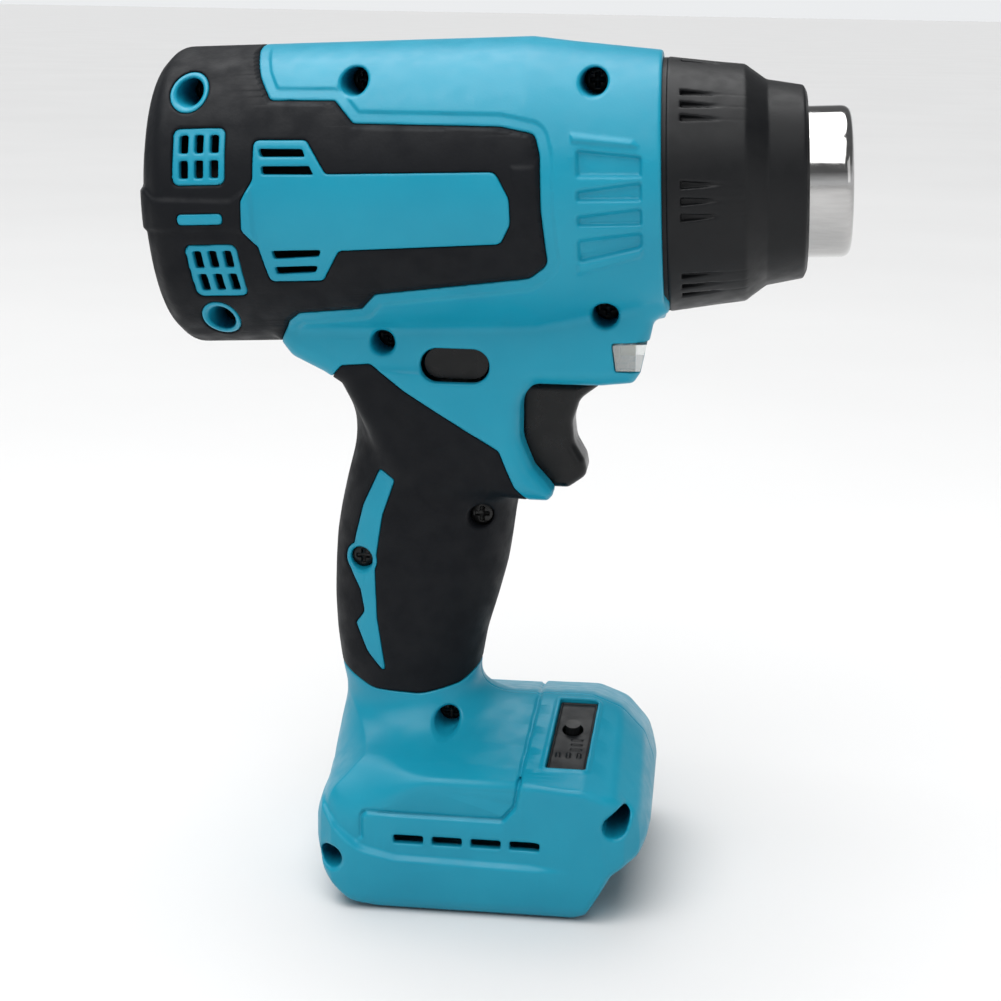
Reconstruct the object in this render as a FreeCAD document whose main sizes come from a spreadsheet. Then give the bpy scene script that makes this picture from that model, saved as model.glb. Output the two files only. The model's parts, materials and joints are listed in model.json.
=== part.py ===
"""Cordless pistol-grip heat gun, as an assembly of separate pieces.

Millimetres.  +X points out of the nozzle, +Y to the tool's left, +Z up.  The tool stands on the
underside of its battery foot, which is Z = 0.  Barrel pieces are drawn about the X axis in the
barrel's own frame, and are then lifted and tilted nose-up by `on_barrel`.
"""
import FreeCAD, Part
import Sketcher
import math
import os

Vector = FreeCAD.Vector
Rotation = FreeCAD.Rotation
Placement = FreeCAD.Placement

DIMENSIONS = [
    # barrel and its axis
    ("barrel_axis_height", 169.2, "height of the barrel axis above the foot, at X = 0"),
    ("barrel_tilt", 2.75, "nose-up angle of the barrel, degrees"),
    ("barrel_radius", 35.1, "outer radius of the barrel behind its taper"),
    ("barrel_front_radius", 31.0, "outer radius at the barrel's front rim"),
    ("barrel_rear", 79.4, "distance from the origin back to the rear cap"),
    ("barrel_front", 41.0, "distance from the origin to the front rim"),
    ("shoulder_rear", 69.5, "where the rear cap starts to round"),
    ("taper_start", 16.0, "where the barrel starts to taper"),
    ("shell_wall", 2.5, "wall of the moulded housing"),
    ("rubber_thickness", 1.6, "thickness of the moulded-on rubber"),
    # handle and foot
    ("lower_width", 35.0, "width of the trigger housing"),
    ("foot_width", 80.0, "width of the battery foot"),
    ("foot_ridge", 43.8, "height of the foot's ridge under the handle"),
    ("foot_crease", 32.6, "height of the crease at the foot's side"),
    ("foot_bevel", 1.4, "width of the bevel along that crease"),
    ("foot_floor", 15.5, "height of the floor of the electronics bay"),
    ("foot_rear", 37.8, "distance back to the foot's rear"),
    ("foot_front", 44.4, "distance forward to the foot's front"),
    # battery slot
    ("slot_width", 60.0, "width of the battery slot above the rails"),
    ("slot_mouth", 53.0, "width between the two rails"),
    ("slot_depth", 13.0, "depth of the battery slot"),
    ("rail_height", 5.0, "height of the rails"),
    ("slot_rear", 28.0, "distance back to the slot's closed end"),
    # front end
    ("nozzle_radius", 17.5, "outside radius of the steel nozzle"),
    ("nozzle_wall", 0.9, "wall of the nozzle"),
    ("nozzle_step", 0.4, "how much thinner the nozzle is inside the guard"),
    ("nozzle_tip", 83.8, "distance to the nozzle's rolled lip"),
    ("nozzle_lip", 4.0, "radius of the rolled lip"),
    ("heater_tube_radius", 16.4, "outside radius of the steel heater tube"),
    ("mica_radius", 15.7, "outside radius of the mica liner"),
    ("former_radius", 12.2, "radius of the cross-shaped element former"),
    ("former_thickness", 1.4, "thickness of the former's plates"),
    ("coil_radius", 13.1, "mean radius of the heating coil"),
    ("coil_wire", 0.45, "radius of the heating wire"),
    ("spigot_radius", 25.0, "radius of the ring that the front collar turns on"),
    ("collar_clearance", 0.35, "gap all round between collar and ring"),
    # motor and fan
    ("motor_radius", 14.0, "outside radius of the fan motor"),
    ("shaft_radius", 1.5, "radius of the motor shaft"),
    ("bearing_clearance", 0.05, "radial gap between shaft and bush"),
    ("bush_radius", 4.0, "outside radius of the bearing bushes"),
    ("fan_radius", 18.4, "radius of the fan"),
    ("duct_radius", 19.3, "inside radius of the air duct"),
    ("duct_wall", 1.2, "wall of the air duct"),
    # trigger group
    ("trigger_width", 15.2, "width of the trigger"),
    ("trigger_gap", 0.4, "gap between trigger and housing"),
    ("plunger_radius", 2.0, "radius of the switch plunger"),
    ("lock_travel", 4.0, "travel of the lock button"),
    ("lock_length", 15.2, "length of the lock button's oval"),
    ("lock_height", 7.2, "height of the lock button's oval"),
    ("lock_gap", 0.3, "gap round the lock button"),
    # display
    ("display_length", 25.2, "length of the display down the slope"),
    ("display_width", 10.2, "width of the display"),
    ("display_thickness", 1.6, "thickness of the display window"),
    ("button_radius", 1.8, "radius of the mode button"),
    ("button_gap", 0.3, "gap round the mode button"),
    # fasteners
    ("screw_head_radius", 2.9, "radius of a screw head"),
    ("screw_head_height", 2.0, "height of a screw head"),
    ("screw_shank_radius", 1.45, "radius of a screw shank"),
    ("screw_reach", 6.0, "how far a screw reaches past the middle into the left shell"),
    ("well_radius", 3.5, "radius of a screw well"),
    ("well_rim", 1.2, "width of the hard rim round a well in the rear cap"),
    ("pilot_radius", 1.6, "radius of a screw's pilot hole"),
    ("post_radius", 4.6, "radius of a screw post"),
]

# Side outline of the trigger housing (X, Z): rear, underside, guard, trigger recess, nose.
TRIGGER_HOUSING = [
    (-52, 150), (-50, 134), (-46.5, 127.8), (-38, 123.4), (-33.6, 118), (-32.2, 111), (-33, 104),
    (-28, 98), (-4, 96), (11.2, 95.8), (15.7, 96.0), (17.3, 97.4), (17.2, 99.0), (12.6, 104.8),
    (10.4, 110), (9.6, 116), (10.4, 121.6), (13.4, 125.0), (28, 125.3), (35.4, 126.4),
    (37.4, 129.2), (38.9, 135.6), (40, 141), (41, 150),
]
# Handle sections: height, centre X, half length, half width.
HANDLE_SECTIONS = [
    (28, -17.6, 16.6, 15.6), (45, -18.0, 16.6, 15.6), (60, -18.1, 18.9, 16.2),
    (75, -16.2, 21.2, 16.8), (90, -14.6, 21.5, 17.0), (105, -11.5, 21.2, 17.0),
    (124, -11.5, 22.8, 17.0),
]
# Side outline of the foot (X, Z): bottom, front cut-away for the battery nose, front, top, rear.
FOOT_SIDE = [
    (-20, 0), (26.5, 0), (29.6, 1.6), (35, 11.5), (41.6, 15.2), (44.4, 20), (44.4, 27),
    (41.5, 35), (35, 41.5), (29, 44), (-33, 44), (-34.2, 34), (-37.8, 20), (-37.8, 14.5),
    (-35, 6.5), (-29, 1.6),
]
# Rubber on the handle (X, Z), and the hard strip let into it.
HANDLE_RUBBER = [
    (-45, 128.6), (-26.7, 128.9), (-18.4, 123), (-1.9, 112.9), (3.6, 109.5), (5.9, 105.1),
    (8.1, 100.7), (12, 96.0), (30, 95.6), (30, 52.6), (0.4, 52.6), (-8.6, 48.2), (-22.4, 47.4),
    (-34, 50), (-45, 50),
]
HANDLE_STRIP = [
    (-23.7, 103.2), (-20.7, 101.1), (-23.1, 93), (-25.3, 80), (-25.0, 68.7), (-22.7, 52.2),
    (-25.5, 53.8), (-30.1, 63.9), (-28.3, 68.5), (-32.4, 80.8), (-30.2, 84), (-27.2, 96.1),
]
# Rubber of the rear cap with the band that wraps the side plate (barrel frame: X, Z).
CAP_RUBBER = [
    (-95, 45), (-52.3, 45), (-52.3, 33.8), (-49.8, 27.8), (-46.3, 22.9), (-31.9, 22.5),
    (-27.4, 17.5), (10, 15.6), (14.3, 12.5), (15.2, -15.2), (10.1, -17.7), (-24.6, -21),
    (-28.5, -24.8), (-43.3, -25.6), (-46, -28), (-51.9, -37), (-51.9, -45), (-95, -45),
]
SIDE_PLATE = [
    (-50, 14.6), (-37.8, 14.3), (-33.3, 6.9), (4.8, 6.5), (7.4, 1.1), (6.3, -8.6), (-31, -10.4),
    (-36.3, -17.2), (-47.8, -17.2), (-49.7, -8.7), (-52.9, -4.5), (-52.5, 1.5), (-50, 6),
]
# Screws, as X, Z, depth of the head's seat from the middle, in each frame.
BARREL_SCREWS = [(-65.6, 25.1, 6), (-62.0, -26.6, 6), (-27.9, 26.5, 6), (26.0, 24.9, 4),
                 (27.4, -28.0, 4)]
BODY_SCREWS = [(-23.4, 134.3, 4), (-29.0, 80.4, 9), (0.0, 92.3, 9), (-7.3, 40.2, 6),
               (35.6, 24.2, 16), (-32.4, 12.2, 10)]
FAR_SIDE = 60.0        # further than any face of the tool
LIFT = "dims.barrel_axis_height"
TILT = "dims.barrel_tilt"

doc = FreeCAD.newDocument("heat_gun")
sheet = doc.addObject("Spreadsheet::Sheet", "dims")
for row, (alias, value, meaning) in enumerate(DIMENSIONS, start=1):
    sheet.set("A%d" % row, meaning)
    sheet.set("B%d" % row, str(value))
    sheet.setAlias("B%d" % row, alias)
doc.recompute()
pieces = []


def size(alias):
    return float(getattr(sheet, alias))


# slope of the foot's roof, in degrees
SLOPE = math.degrees(math.atan2(size("foot_ridge") - size("foot_crease"),
                                size("foot_width") / 2 - size("foot_bevel")))


def finished(thing, label):
    """Register an object as one piece of the tool."""
    thing.Label = label
    pieces.append(thing)
    return thing


def on_barrel(thing):
    """Lift a piece drawn about the X axis on to the tilted barrel axis."""
    thing.Placement = Placement(Vector(0, 0, 1), Rotation(Vector(0, -1, 0), 1))
    thing.setExpression(".Placement.Base.z", LIFT)
    thing.setExpression(".Placement.Rotation.Angle", TILT)
    return thing


def fix_corner(sketch, kind, index, value):
    """Hold one coordinate of a corner, to a number or to a formula of the sheet."""
    start = value if isinstance(value, (int, float)) else 1.0
    which = sketch.addConstraint(Sketcher.Constraint(kind, -1, 1, index, 1, start))
    if isinstance(value, str):
        sketch.setExpression("Constraints[%d]" % which, value)


def draw_outline(sketch, corners):
    """Draw one closed outline through the corners."""
    first = sketch.GeometryCount
    count = len(corners)
    turn = 2 * math.pi / count
    ring = [Vector(9 * math.cos(turn * i), 9 * math.sin(turn * i), 0) for i in range(count)]
    for i in range(count):
        sketch.addGeometry(Part.LineSegment(ring[i], ring[(i + 1) % count]), False)
    for i in range(count):
        joined = Sketcher.Constraint("Coincident", first + i, 2, first + (i + 1) % count, 1)
        sketch.addConstraint(joined)
    for i, (across, up) in enumerate(corners):
        fix_corner(sketch, "DistanceX", first + i, across)
        fix_corner(sketch, "DistanceY", first + i, up)


def outline(name, corners):
    """Free sketch in the XY plane of its own frame."""
    sketch = doc.addObject("Sketcher::SketchObject", name)
    draw_outline(sketch, corners)
    return sketch


def upright(name, corners):
    """Free sketch in the XZ plane."""
    sketch = outline(name, corners)
    sketch.Placement = Placement(Vector(0, 0, 0), Rotation(Vector(1, 0, 0), 90))
    return sketch


def inner_outline(name, source, inset):
    """The same outline drawn `inset` inside it."""
    offset = doc.addObject("Part::Offset2D", name)
    offset.Source = source
    offset.Join = 2
    offset.Value = -1.0
    offset.setExpression("Value", "-(%s)" % inset)
    return offset


def swept_across(name, source, width, direction=Vector(0, 1, 0)):
    """Extrude an outline to both sides of the middle plane."""
    solid = doc.addObject("Part::Extrusion", name)
    solid.Base = source
    solid.DirMode = "Custom"
    solid.Dir = direction
    solid.Symmetric = True
    solid.Solid = True
    solid.LengthFwd = 1.0
    if isinstance(width, str):
        solid.setExpression("LengthFwd", width)
    else:
        solid.LengthFwd = width
    return solid


def turned(name, corners):
    """Solid of revolution about the X axis, from corners (X, radius)."""
    solid = doc.addObject("Part::Revolution", name)
    solid.Source = outline(name + "_profile", corners)
    solid.Axis = Vector(1, 0, 0)
    solid.Angle = 360
    solid.Solid = True
    return solid


def box(name, low, high):
    """Box between two corners; a text coordinate is a formula."""
    block = doc.addObject("Part::Box", name)
    for axis, side, a, b in zip("xyz", ("Length", "Width", "Height"), low, high):
        block.setExpression(side, "(%s) - (%s)" % (b, a))
        block.setExpression(".Placement.Base.%s" % axis, "(%s) + 0" % a)
    return block


def rod(name, radius, start, end, axis, at=(0, 0)):
    """Cylinder along X or Y between two stations, its centre at the two other coordinates."""
    cylinder = doc.addObject("Part::Cylinder", name)
    cylinder.setExpression("Radius", str(radius))
    cylinder.setExpression("Height", "(%s) - (%s)" % (end, start))
    if axis == "X":
        cylinder.Placement = Placement(Vector(0, at[0], at[1]), Rotation(Vector(0, 1, 0), 90))
        cylinder.setExpression(".Placement.Base.x", "(%s) + 0" % start)
    else:
        cylinder.Placement = Placement(Vector(at[0], 0, at[1]), Rotation(Vector(-1, 0, 0), 90))
        cylinder.setExpression(".Placement.Base.y", "(%s) + 0" % start)
    return cylinder


def fuse(name, things):
    joined = doc.addObject("Part::MultiFuse", name)
    joined.Shapes = things
    return joined


def cut(name, base, tool):
    result = doc.addObject("Part::Cut", name)
    result.Base = base
    result.Tool = tool
    return result


def common(name, base, tool):
    result = doc.addObject("Part::Common", name)
    result.Base = base
    result.Tool = tool
    return result


def group(name, things):
    """Several separate solids that count as one piece."""
    together = doc.addObject("Part::Compound", name)
    together.Links = things
    return together


def rounded(name, source, radius, chosen):
    """Round those edges of a solid that the test picks."""
    doc.recompute()
    edges = [i for i, edge in enumerate(source.Shape.Edges, start=1) if chosen(edge)]
    fillet = doc.addObject("Part::Fillet", name)
    fillet.Base = source
    fillet.Edges = [(i, radius, radius) for i in edges]
    return fillet


def plane_of(body, role):
    return next(f for f in body.Origin.OriginFeatures if f.Role == role)


def body_sketch(body, name, role, corners):
    """Sketch on one of the body's own origin planes."""
    sketch = body.newObject("Sketcher::SketchObject", name)
    sketch.AttachmentSupport = (plane_of(body, role), [""])
    sketch.MapMode = "FlatFace"
    draw_outline(sketch, corners)
    return sketch


def revolve(body, name, corners):
    """Turn an outline of corners (X, radius) about the body's X axis."""
    feature = body.newObject("PartDesign::Revolution", name)
    feature.Profile = body_sketch(body, name + "_sketch", "XZ_Plane", corners)
    feature.ReferenceAxis = (feature.Profile[0], ["H_Axis"])
    feature.Angle = 360
    return feature


def pad(body, name, role, corners, length):
    """Pad an outline to both sides of its plane."""
    feature = body.newObject("PartDesign::Pad", name)
    feature.Profile = body_sketch(body, name + "_sketch", role, corners)
    feature.Midplane = True
    if isinstance(length, str):
        feature.setExpression("Length", length)
    else:
        feature.Length = length
    return feature


def repeat_about_x(body, feature, count):
    """Repeat a feature evenly about the body's X axis."""
    pattern = body.newObject("PartDesign::PolarPattern", feature.Name + "_ring")
    pattern.Originals = [feature]
    axis = next(f for f in body.Origin.OriginFeatures if f.Role == "X_Axis")
    pattern.Axis = (axis, [""])
    pattern.Angle = 360
    pattern.Occurrences = count
    body.Tip = pattern
    return pattern


def turned_body(label, corners):
    """One lathe-turned piece on the barrel axis."""
    body = doc.addObject("PartDesign::Body", label + "_body")
    revolve(body, label + "_turning", corners)
    on_barrel(body)
    return finished(body, label)


# ---------------------------------------------------------------- moulded outer form
def barrel_form(tag, inset, front):
    """Barrel with its rounded rear, `inset` inside the outer surface."""
    rear = "-dims.barrel_rear + "
    radius = " * dims.barrel_radius - "
    corners = [
        (rear + inset, "0"),
        (rear + inset, "0.42%s0.2 * %s" % (radius, inset)),
        (rear + "2.1 + 0.8 * %s" % inset, "0.75%s0.6 * %s" % (radius, inset)),
        (rear + "5.0 + 0.45 * %s" % inset, "0.93%s0.85 * %s" % (radius, inset)),
        ("-dims.shoulder_rear", "dims.barrel_radius - %s" % inset),
        ("dims.taper_start", "dims.barrel_radius - %s" % inset),
        ("dims.taper_start + 6.4", "dims.barrel_radius - 1.9 - %s" % inset),
        (front, "dims.barrel_front_radius - %s" % inset),
        (front, "0"),
    ]
    return on_barrel(turned(tag + "_barrel", corners))


def trigger_housing_form(tag, inset):
    side = upright(tag + "_lower_side", TRIGGER_HOUSING)
    if inset != "0":
        side = inner_outline(tag + "_lower_inner", side, inset)
    return swept_across(tag + "_lower", side, "dims.lower_width - 2 * (%s)" % inset)


def handle_form(tag, inset):
    """Loft through the handle's oval sections."""
    ovals = []
    for height, middle, half_length, half_width in HANDLE_SECTIONS:
        oval = doc.addObject("Part::Ellipse", "%s_oval" % tag)
        oval.Placement = Placement(Vector(middle, 0, height), Rotation())
        oval.setExpression("MajorRadius", "%g - %s" % (half_length, inset))
        oval.setExpression("MinorRadius", "%g - %s" % (half_width, inset))
        ovals.append(oval)
    loft = doc.addObject("Part::Loft", tag + "_handle")
    loft.Sections = ovals
    loft.Solid = True
    loft.Ruled = False
    return loft


def foot_form(tag, inset):
    """Foot: its side outline, its roof-shaped front outline and its rounded plan, in common."""
    side = upright(tag + "_foot_side", FOOT_SIDE)
    half = "dims.foot_width / 2"
    front = outline(tag + "_foot_front", [
        ("-%s" % half, "-2"), (half, "-2"), (half, "dims.foot_crease - 2"),
        (half + " - dims.foot_bevel", "dims.foot_crease"), ("0", "dims.foot_ridge"),
        ("-%s + dims.foot_bevel" % half, "dims.foot_crease"), ("-%s" % half, "dims.foot_crease - 2"),
    ])
    front.Placement = Placement(Vector(0, 0, 0), Rotation(Vector(1, 1, 1), 120))
    if inset != "0":
        side = inner_outline(tag + "_foot_side_inner", side, inset)
        front = inner_outline(tag + "_foot_front_inner", front, inset)
    length = swept_across(tag + "_foot_length", side, FAR_SIDE * 2)
    width = swept_across(tag + "_foot_width", front, FAR_SIDE * 2, Vector(1, 0, 0))
    plan = box(tag + "_foot_plan",
               ("-dims.foot_rear + %s" % inset, "-%s + %s" % (half, inset), "-2"),
               ("dims.foot_front - %s" % inset, "%s - %s" % (half, inset), "60"))
    standing = rounded(tag + "_foot_corners", plan, 13.0, lambda edge: edge.Length > 61.9)
    return common(tag + "_foot", common(tag + "_foot_block", length, width), standing)


outer = fuse("outer_form", [
    barrel_form("outer", "0", "dims.barrel_front"),
    trigger_housing_form("outer", "0"), handle_form("outer", "0"), foot_form("outer", "0"),
])
RUBBER = "dims.rubber_thickness"
rubber_floor = fuse("rubber_floor", [
    barrel_form("floor", RUBBER, "dims.barrel_front + 1"),
    trigger_housing_form("floor", RUBBER), handle_form("floor", RUBBER),
    foot_form("floor", RUBBER),
])
WALL = "dims.shell_wall + dims.rubber_thickness * 0.5"
above_floor = box("above_floor", (-FAR_SIDE, -FAR_SIDE, "dims.foot_floor"),
                  (FAR_SIDE, FAR_SIDE, 2 * FAR_SIDE))
cavity = fuse("cavity", [
    barrel_form("inner", "dims.shell_wall", "dims.barrel_front + 1"),
    trigger_housing_form("inner", "(%s)" % WALL), handle_form("inner", "(%s)" % WALL),
    common("electronics_bay", foot_form("inner", "dims.shell_wall"), above_floor),
])

# ---------------------------------------------------------------- rubber skins
skin = cut("skin", outer, rubber_floor)
cap_region = on_barrel(swept_across("cap_region", upright("cap_outline", CAP_RUBBER),
                                    2 * FAR_SIDE))
plate_region = on_barrel(swept_across("plate_region", upright("plate_outline", SIDE_PLATE),
                                      2 * FAR_SIDE))
handle_region = swept_across("handle_region", upright("handle_outline", HANDLE_RUBBER),
                             2 * FAR_SIDE)
strip_region = swept_across("strip_region", upright("strip_outline", HANDLE_STRIP), 2 * FAR_SIDE)

# Vent windows in the rear cap (barrel frame): centre X, centre Z.
VENT_WINDOWS = [(-62.2, 11.2), (-60.3, -14.5)]
WINDOW_LENGTH = 12.4
WINDOW_HEIGHT = 12.6
SLOT_WIDTH = 2.0
SLOT_PITCH = 3.9
SLOT_HEIGHT = 4.8
CROSS_BAR = 1.6            # bar between the two rows of slots
PLATE_SLOT_HEIGHT = 1.8
windows = []
grid_slots = []
for number, (middle, height) in enumerate(VENT_WINDOWS):
    windows.append(box("window_%d" % number,
                       (middle - WINDOW_LENGTH / 2, -FAR_SIDE, height - WINDOW_HEIGHT / 2),
                       (middle + WINDOW_LENGTH / 2, FAR_SIDE, height + WINDOW_HEIGHT / 2)))
    for column in (-1, 0, 1):
        for side in (-1, 1):
            left = middle + column * SLOT_PITCH - SLOT_WIDTH / 2
            low = height + side * (CROSS_BAR + SLOT_HEIGHT) / 2 - SLOT_HEIGHT / 2
            grid_slots.append(box("grid_slot", (left, -FAR_SIDE, low),
                                  (left + SLOT_WIDTH, FAR_SIDE, low + SLOT_HEIGHT)))
windows.append(box("bar_window", (-67.5, -FAR_SIDE, -3.6), (-57.0, FAR_SIDE, -1.3)))
# Slots in the side plate: start X, end X, centre Z.
for start, end, height in [(-48.2, -38.2, 11.7), (-47.8, -36.6, 7.9), (-46.6, -35.6, -10.8),
                           (-46.4, -36.8, -14.6)]:
    grid_slots.append(box("plate_slot", (start, -FAR_SIDE, height - PLATE_SLOT_HEIGHT / 2),
                          (end, FAR_SIDE, height + PLATE_SLOT_HEIGHT / 2)))
window_block = on_barrel(group("window_block", windows))
slot_block = on_barrel(group("slot_block", grid_slots))


def screw_holes(name, places, radius, start, end):
    """Holes or posts along Y at the given (X, Z) places."""
    return group(name, [rod(name, radius, start, end, "Y", (x, z)) for x, z, seat in places])


cap_wells = on_barrel(screw_holes("cap_wells", BARREL_SCREWS,
                                  "dims.well_radius + dims.well_rim", -FAR_SIDE, 0))
cap_skin = common("cap_skin", cut("band_only", cap_region, plate_region), skin)
cap_rubber = cut("cap_rubber", cut("cap_windowed", cap_skin, window_block), cap_wells)
handle_wells = screw_holes("handle_wells", BODY_SCREWS, "dims.well_radius", -FAR_SIDE, 0)
handle_skin = common("handle_skin", cut("handle_only", handle_region, strip_region), skin)
trigger_mouth = box("trigger_mouth",
                    (-1.5, "-dims.trigger_width / 2 - dims.trigger_gap", "98.3"),
                    (30, "dims.trigger_width / 2 + dims.trigger_gap", "125.3"))
handle_rubber = cut("handle_rubber", cut("handle_drilled", handle_skin, handle_wells),
                    trigger_mouth)

right_side = box("right_side", (-2 * FAR_SIDE, -FAR_SIDE, -5), (2 * FAR_SIDE, 0, 4 * FAR_SIDE))
left_side = box("left_side", (-2 * FAR_SIDE, 0, -5), (2 * FAR_SIDE, FAR_SIDE, 4 * FAR_SIDE))
for label, source in (("bumper", cap_rubber), ("grip_rubber", handle_rubber)):
    finished(common("right_" + label + "_half", source, right_side), "right_" + label)
    finished(common("left_" + label + "_half", source, left_side), "left_" + label)

# ---------------------------------------------------------------- housing shells
POST_LENGTH_BARREL = 34    # from the middle; the outer form trims the posts
POST_LENGTH_FOOT = 39
PILOT_END = 14             # where the pilot holes end in the left shell
posts = fuse("posts", [
    on_barrel(screw_holes("barrel_posts", BARREL_SCREWS, "dims.post_radius",
                          -POST_LENGTH_BARREL, POST_LENGTH_BARREL)),
    screw_holes("body_posts", BODY_SCREWS, "dims.post_radius", -POST_LENGTH_FOOT,
                POST_LENGTH_FOOT),
])
rubber_volume = fuse("rubber_volume", [
    common("cap_volume", cut("cap_band", cap_region, plate_region), skin),
    common("handle_volume", cut("handle_band", handle_region, strip_region), skin),
])
hollow = cut("hollow", outer, cut("room_inside", cavity, posts))
bare_shell = cut("bare_shell", hollow, rubber_volume)

slot_half = "dims.slot_width / 2"
mouth_half = "dims.slot_mouth / 2"
battery_slot = fuse("battery_slot", [
    box("slot_upper", ("-dims.slot_rear", "-%s" % slot_half, "dims.rail_height"),
        (FAR_SIDE, slot_half, "dims.slot_depth")),
    box("slot_lower", ("-dims.slot_rear", "-%s" % mouth_half, -5),
        (FAR_SIDE, mouth_half, "dims.rail_height + 0.1")),
])


def oval_bar(name, length, height, start, end, at):
    """Bar along Y with a round-ended oval section."""
    x, z = at
    flat = "((%s) - (%s)) / 2" % (length, height)
    middle = box(name + "_middle", ("%g - %s" % (x, flat), start, "%g - (%s) / 2" % (z, height)),
                 ("%g + %s" % (x, flat), end, "%g + (%s) / 2" % (z, height)))
    ends = []
    for sign in "-+":
        end_rod = rod(name + "_end", "(%s) / 2" % height, start, end, "Y", (x, z))
        end_rod.setExpression(".Placement.Base.x", "%g %s %s" % (x, sign, flat))
        ends.append(end_rod)
    return fuse(name, [middle] + ends)


LOCK_PLACE = (-6.3, 129.3)
lock_slot = oval_bar("lock_slot", "dims.lock_length + 2 * dims.lock_gap",
                     "dims.lock_height + 2 * dims.lock_gap", -FAR_SIDE, FAR_SIDE, LOCK_PLACE)

FOOT_VENTS = 4
FOOT_VENT_PITCH = 9.3
FOOT_VENT_START = -17.1
FOOT_VENT_LENGTH = 7.2
foot_vents = []
for number in range(FOOT_VENTS):
    left = FOOT_VENT_START + number * FOOT_VENT_PITCH
    foot_vents.append(box("foot_vent", (left, -FAR_SIDE, 17.1),
                          (left + FOOT_VENT_LENGTH, FAR_SIDE, 19.3)))

LED_WINDOW = [(30.4, 135.6), (38.0, 136.2), (45, 136.2), (45, 129.3), (31.4, 129.3)]
led_region = swept_across("led_region", upright("led_outline", LED_WINDOW), 36.0)


def on_slope(thing, x, y):
    """Place a piece drawn flat at the origin on the right-hand slope of the foot's roof."""
    height = size("foot_ridge") + y * math.tan(math.radians(SLOPE))
    thing.Placement = Placement(Vector(x, y, height), Rotation(Vector(1, 0, 0), SLOPE))
    return thing


def flat_box(name, middle, length, width, low, high):
    """Box centred on (X, Y) `middle`, between two heights, for placing on the slope."""
    block = doc.addObject("Part::Box", name)
    block.setExpression("Length", str(length))
    block.setExpression("Width", str(width))
    block.setExpression("Height", "(%s) - (%s)" % (high, low))
    block.setExpression(".Placement.Base.x", "%g - (%s) / 2" % (middle[0], length))
    block.setExpression(".Placement.Base.y", "%g - (%s) / 2" % (middle[1], width))
    block.setExpression(".Placement.Base.z", "(%s) + 0" % low)
    return block


DISPLAY_X = 23.6
DISPLAY_Y = -18.0
BUTTON_UP_SLOPE = 4.5      # button's distance up the slope from the display's middle
display_pocket = on_slope(group("display_pocket", [
    flat_box("pocket_mouth", (0, 0), "dims.display_width", "dims.display_length", -1.2, 5),
    flat_box("pocket_through", (0, 0), "dims.display_width - 2.4", "dims.display_length - 2.4",
             -8, 5),
]), DISPLAY_X, DISPLAY_Y)

barrel_pilots = on_barrel(screw_holes("barrel_pilots", BARREL_SCREWS, "dims.pilot_radius",
                                      -FAR_SIDE, PILOT_END))
body_pilots = screw_holes("body_pilots", BODY_SCREWS, "dims.pilot_radius", -FAR_SIDE, PILOT_END)


def wells(name, places):
    return group(name, [rod(name, "dims.well_radius", -FAR_SIDE, -seat, "Y", (x, z))
                        for x, z, seat in places])


openings = fuse("openings", [
    slot_block, battery_slot, lock_slot, trigger_mouth, led_region, display_pocket,
    barrel_pilots, body_pilots, on_barrel(wells("barrel_wells", BARREL_SCREWS)),
    wells("body_wells", BODY_SCREWS),
] + foot_vents)
shell = cut("shell", bare_shell, openings)
finished(common("right_housing_half", shell, right_side), "right_housing")
finished(common("left_housing_half", shell, left_side), "left_housing")

# ---------------------------------------------------------------- screws
def screws(places):
    solids = []
    for x, z, seat in places:
        head = rod("screw_head", "dims.screw_head_radius",
                   "%g - dims.screw_head_height" % -seat, -seat, "Y", (x, z))
        shank = rod("screw_shank", "dims.screw_shank_radius", "%g - 0.5" % -seat,
                    "dims.screw_reach", "Y", (x, z))
        solids.append(fuse("screw", [head, shank]))
    return solids


finished(group("screw_set", [
    on_barrel(group("barrel_screw_set", screws(BARREL_SCREWS))),
    group("body_screw_set", screws(BODY_SCREWS)),
]), "housing_screws")

# ---------------------------------------------------------------- nozzle, collar, heater
inner_nozzle = "dims.nozzle_radius - dims.nozzle_wall"
NOZZLE_STEP = 74.8       # in front of this the nozzle is full size, for a slip-on attachment
stem = "dims.nozzle_radius - dims.nozzle_step"
nozzle = doc.addObject("PartDesign::Body", "nozzle_body")
revolve(nozzle, "nozzle_tube", [
    (34, stem), (NOZZLE_STEP, stem),
    (NOZZLE_STEP, "dims.nozzle_radius"),
    ("dims.nozzle_tip - dims.nozzle_lip", "dims.nozzle_radius"),
    ("dims.nozzle_tip - 0.3 * dims.nozzle_lip", "dims.nozzle_radius - 0.3 * dims.nozzle_lip"),
    ("dims.nozzle_tip", "dims.nozzle_radius - dims.nozzle_lip"),
    ("dims.nozzle_tip", inner_nozzle + " - dims.nozzle_lip"),
    ("dims.nozzle_tip - dims.nozzle_wall", inner_nozzle + " - dims.nozzle_lip"),
    ("dims.nozzle_tip - 0.3 * dims.nozzle_lip - dims.nozzle_wall",
     inner_nozzle + " - 0.3 * dims.nozzle_lip"),
    ("dims.nozzle_tip - dims.nozzle_lip", inner_nozzle), (34, inner_nozzle),
])
on_barrel(nozzle)
finished(nozzle, "nozzle")

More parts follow.
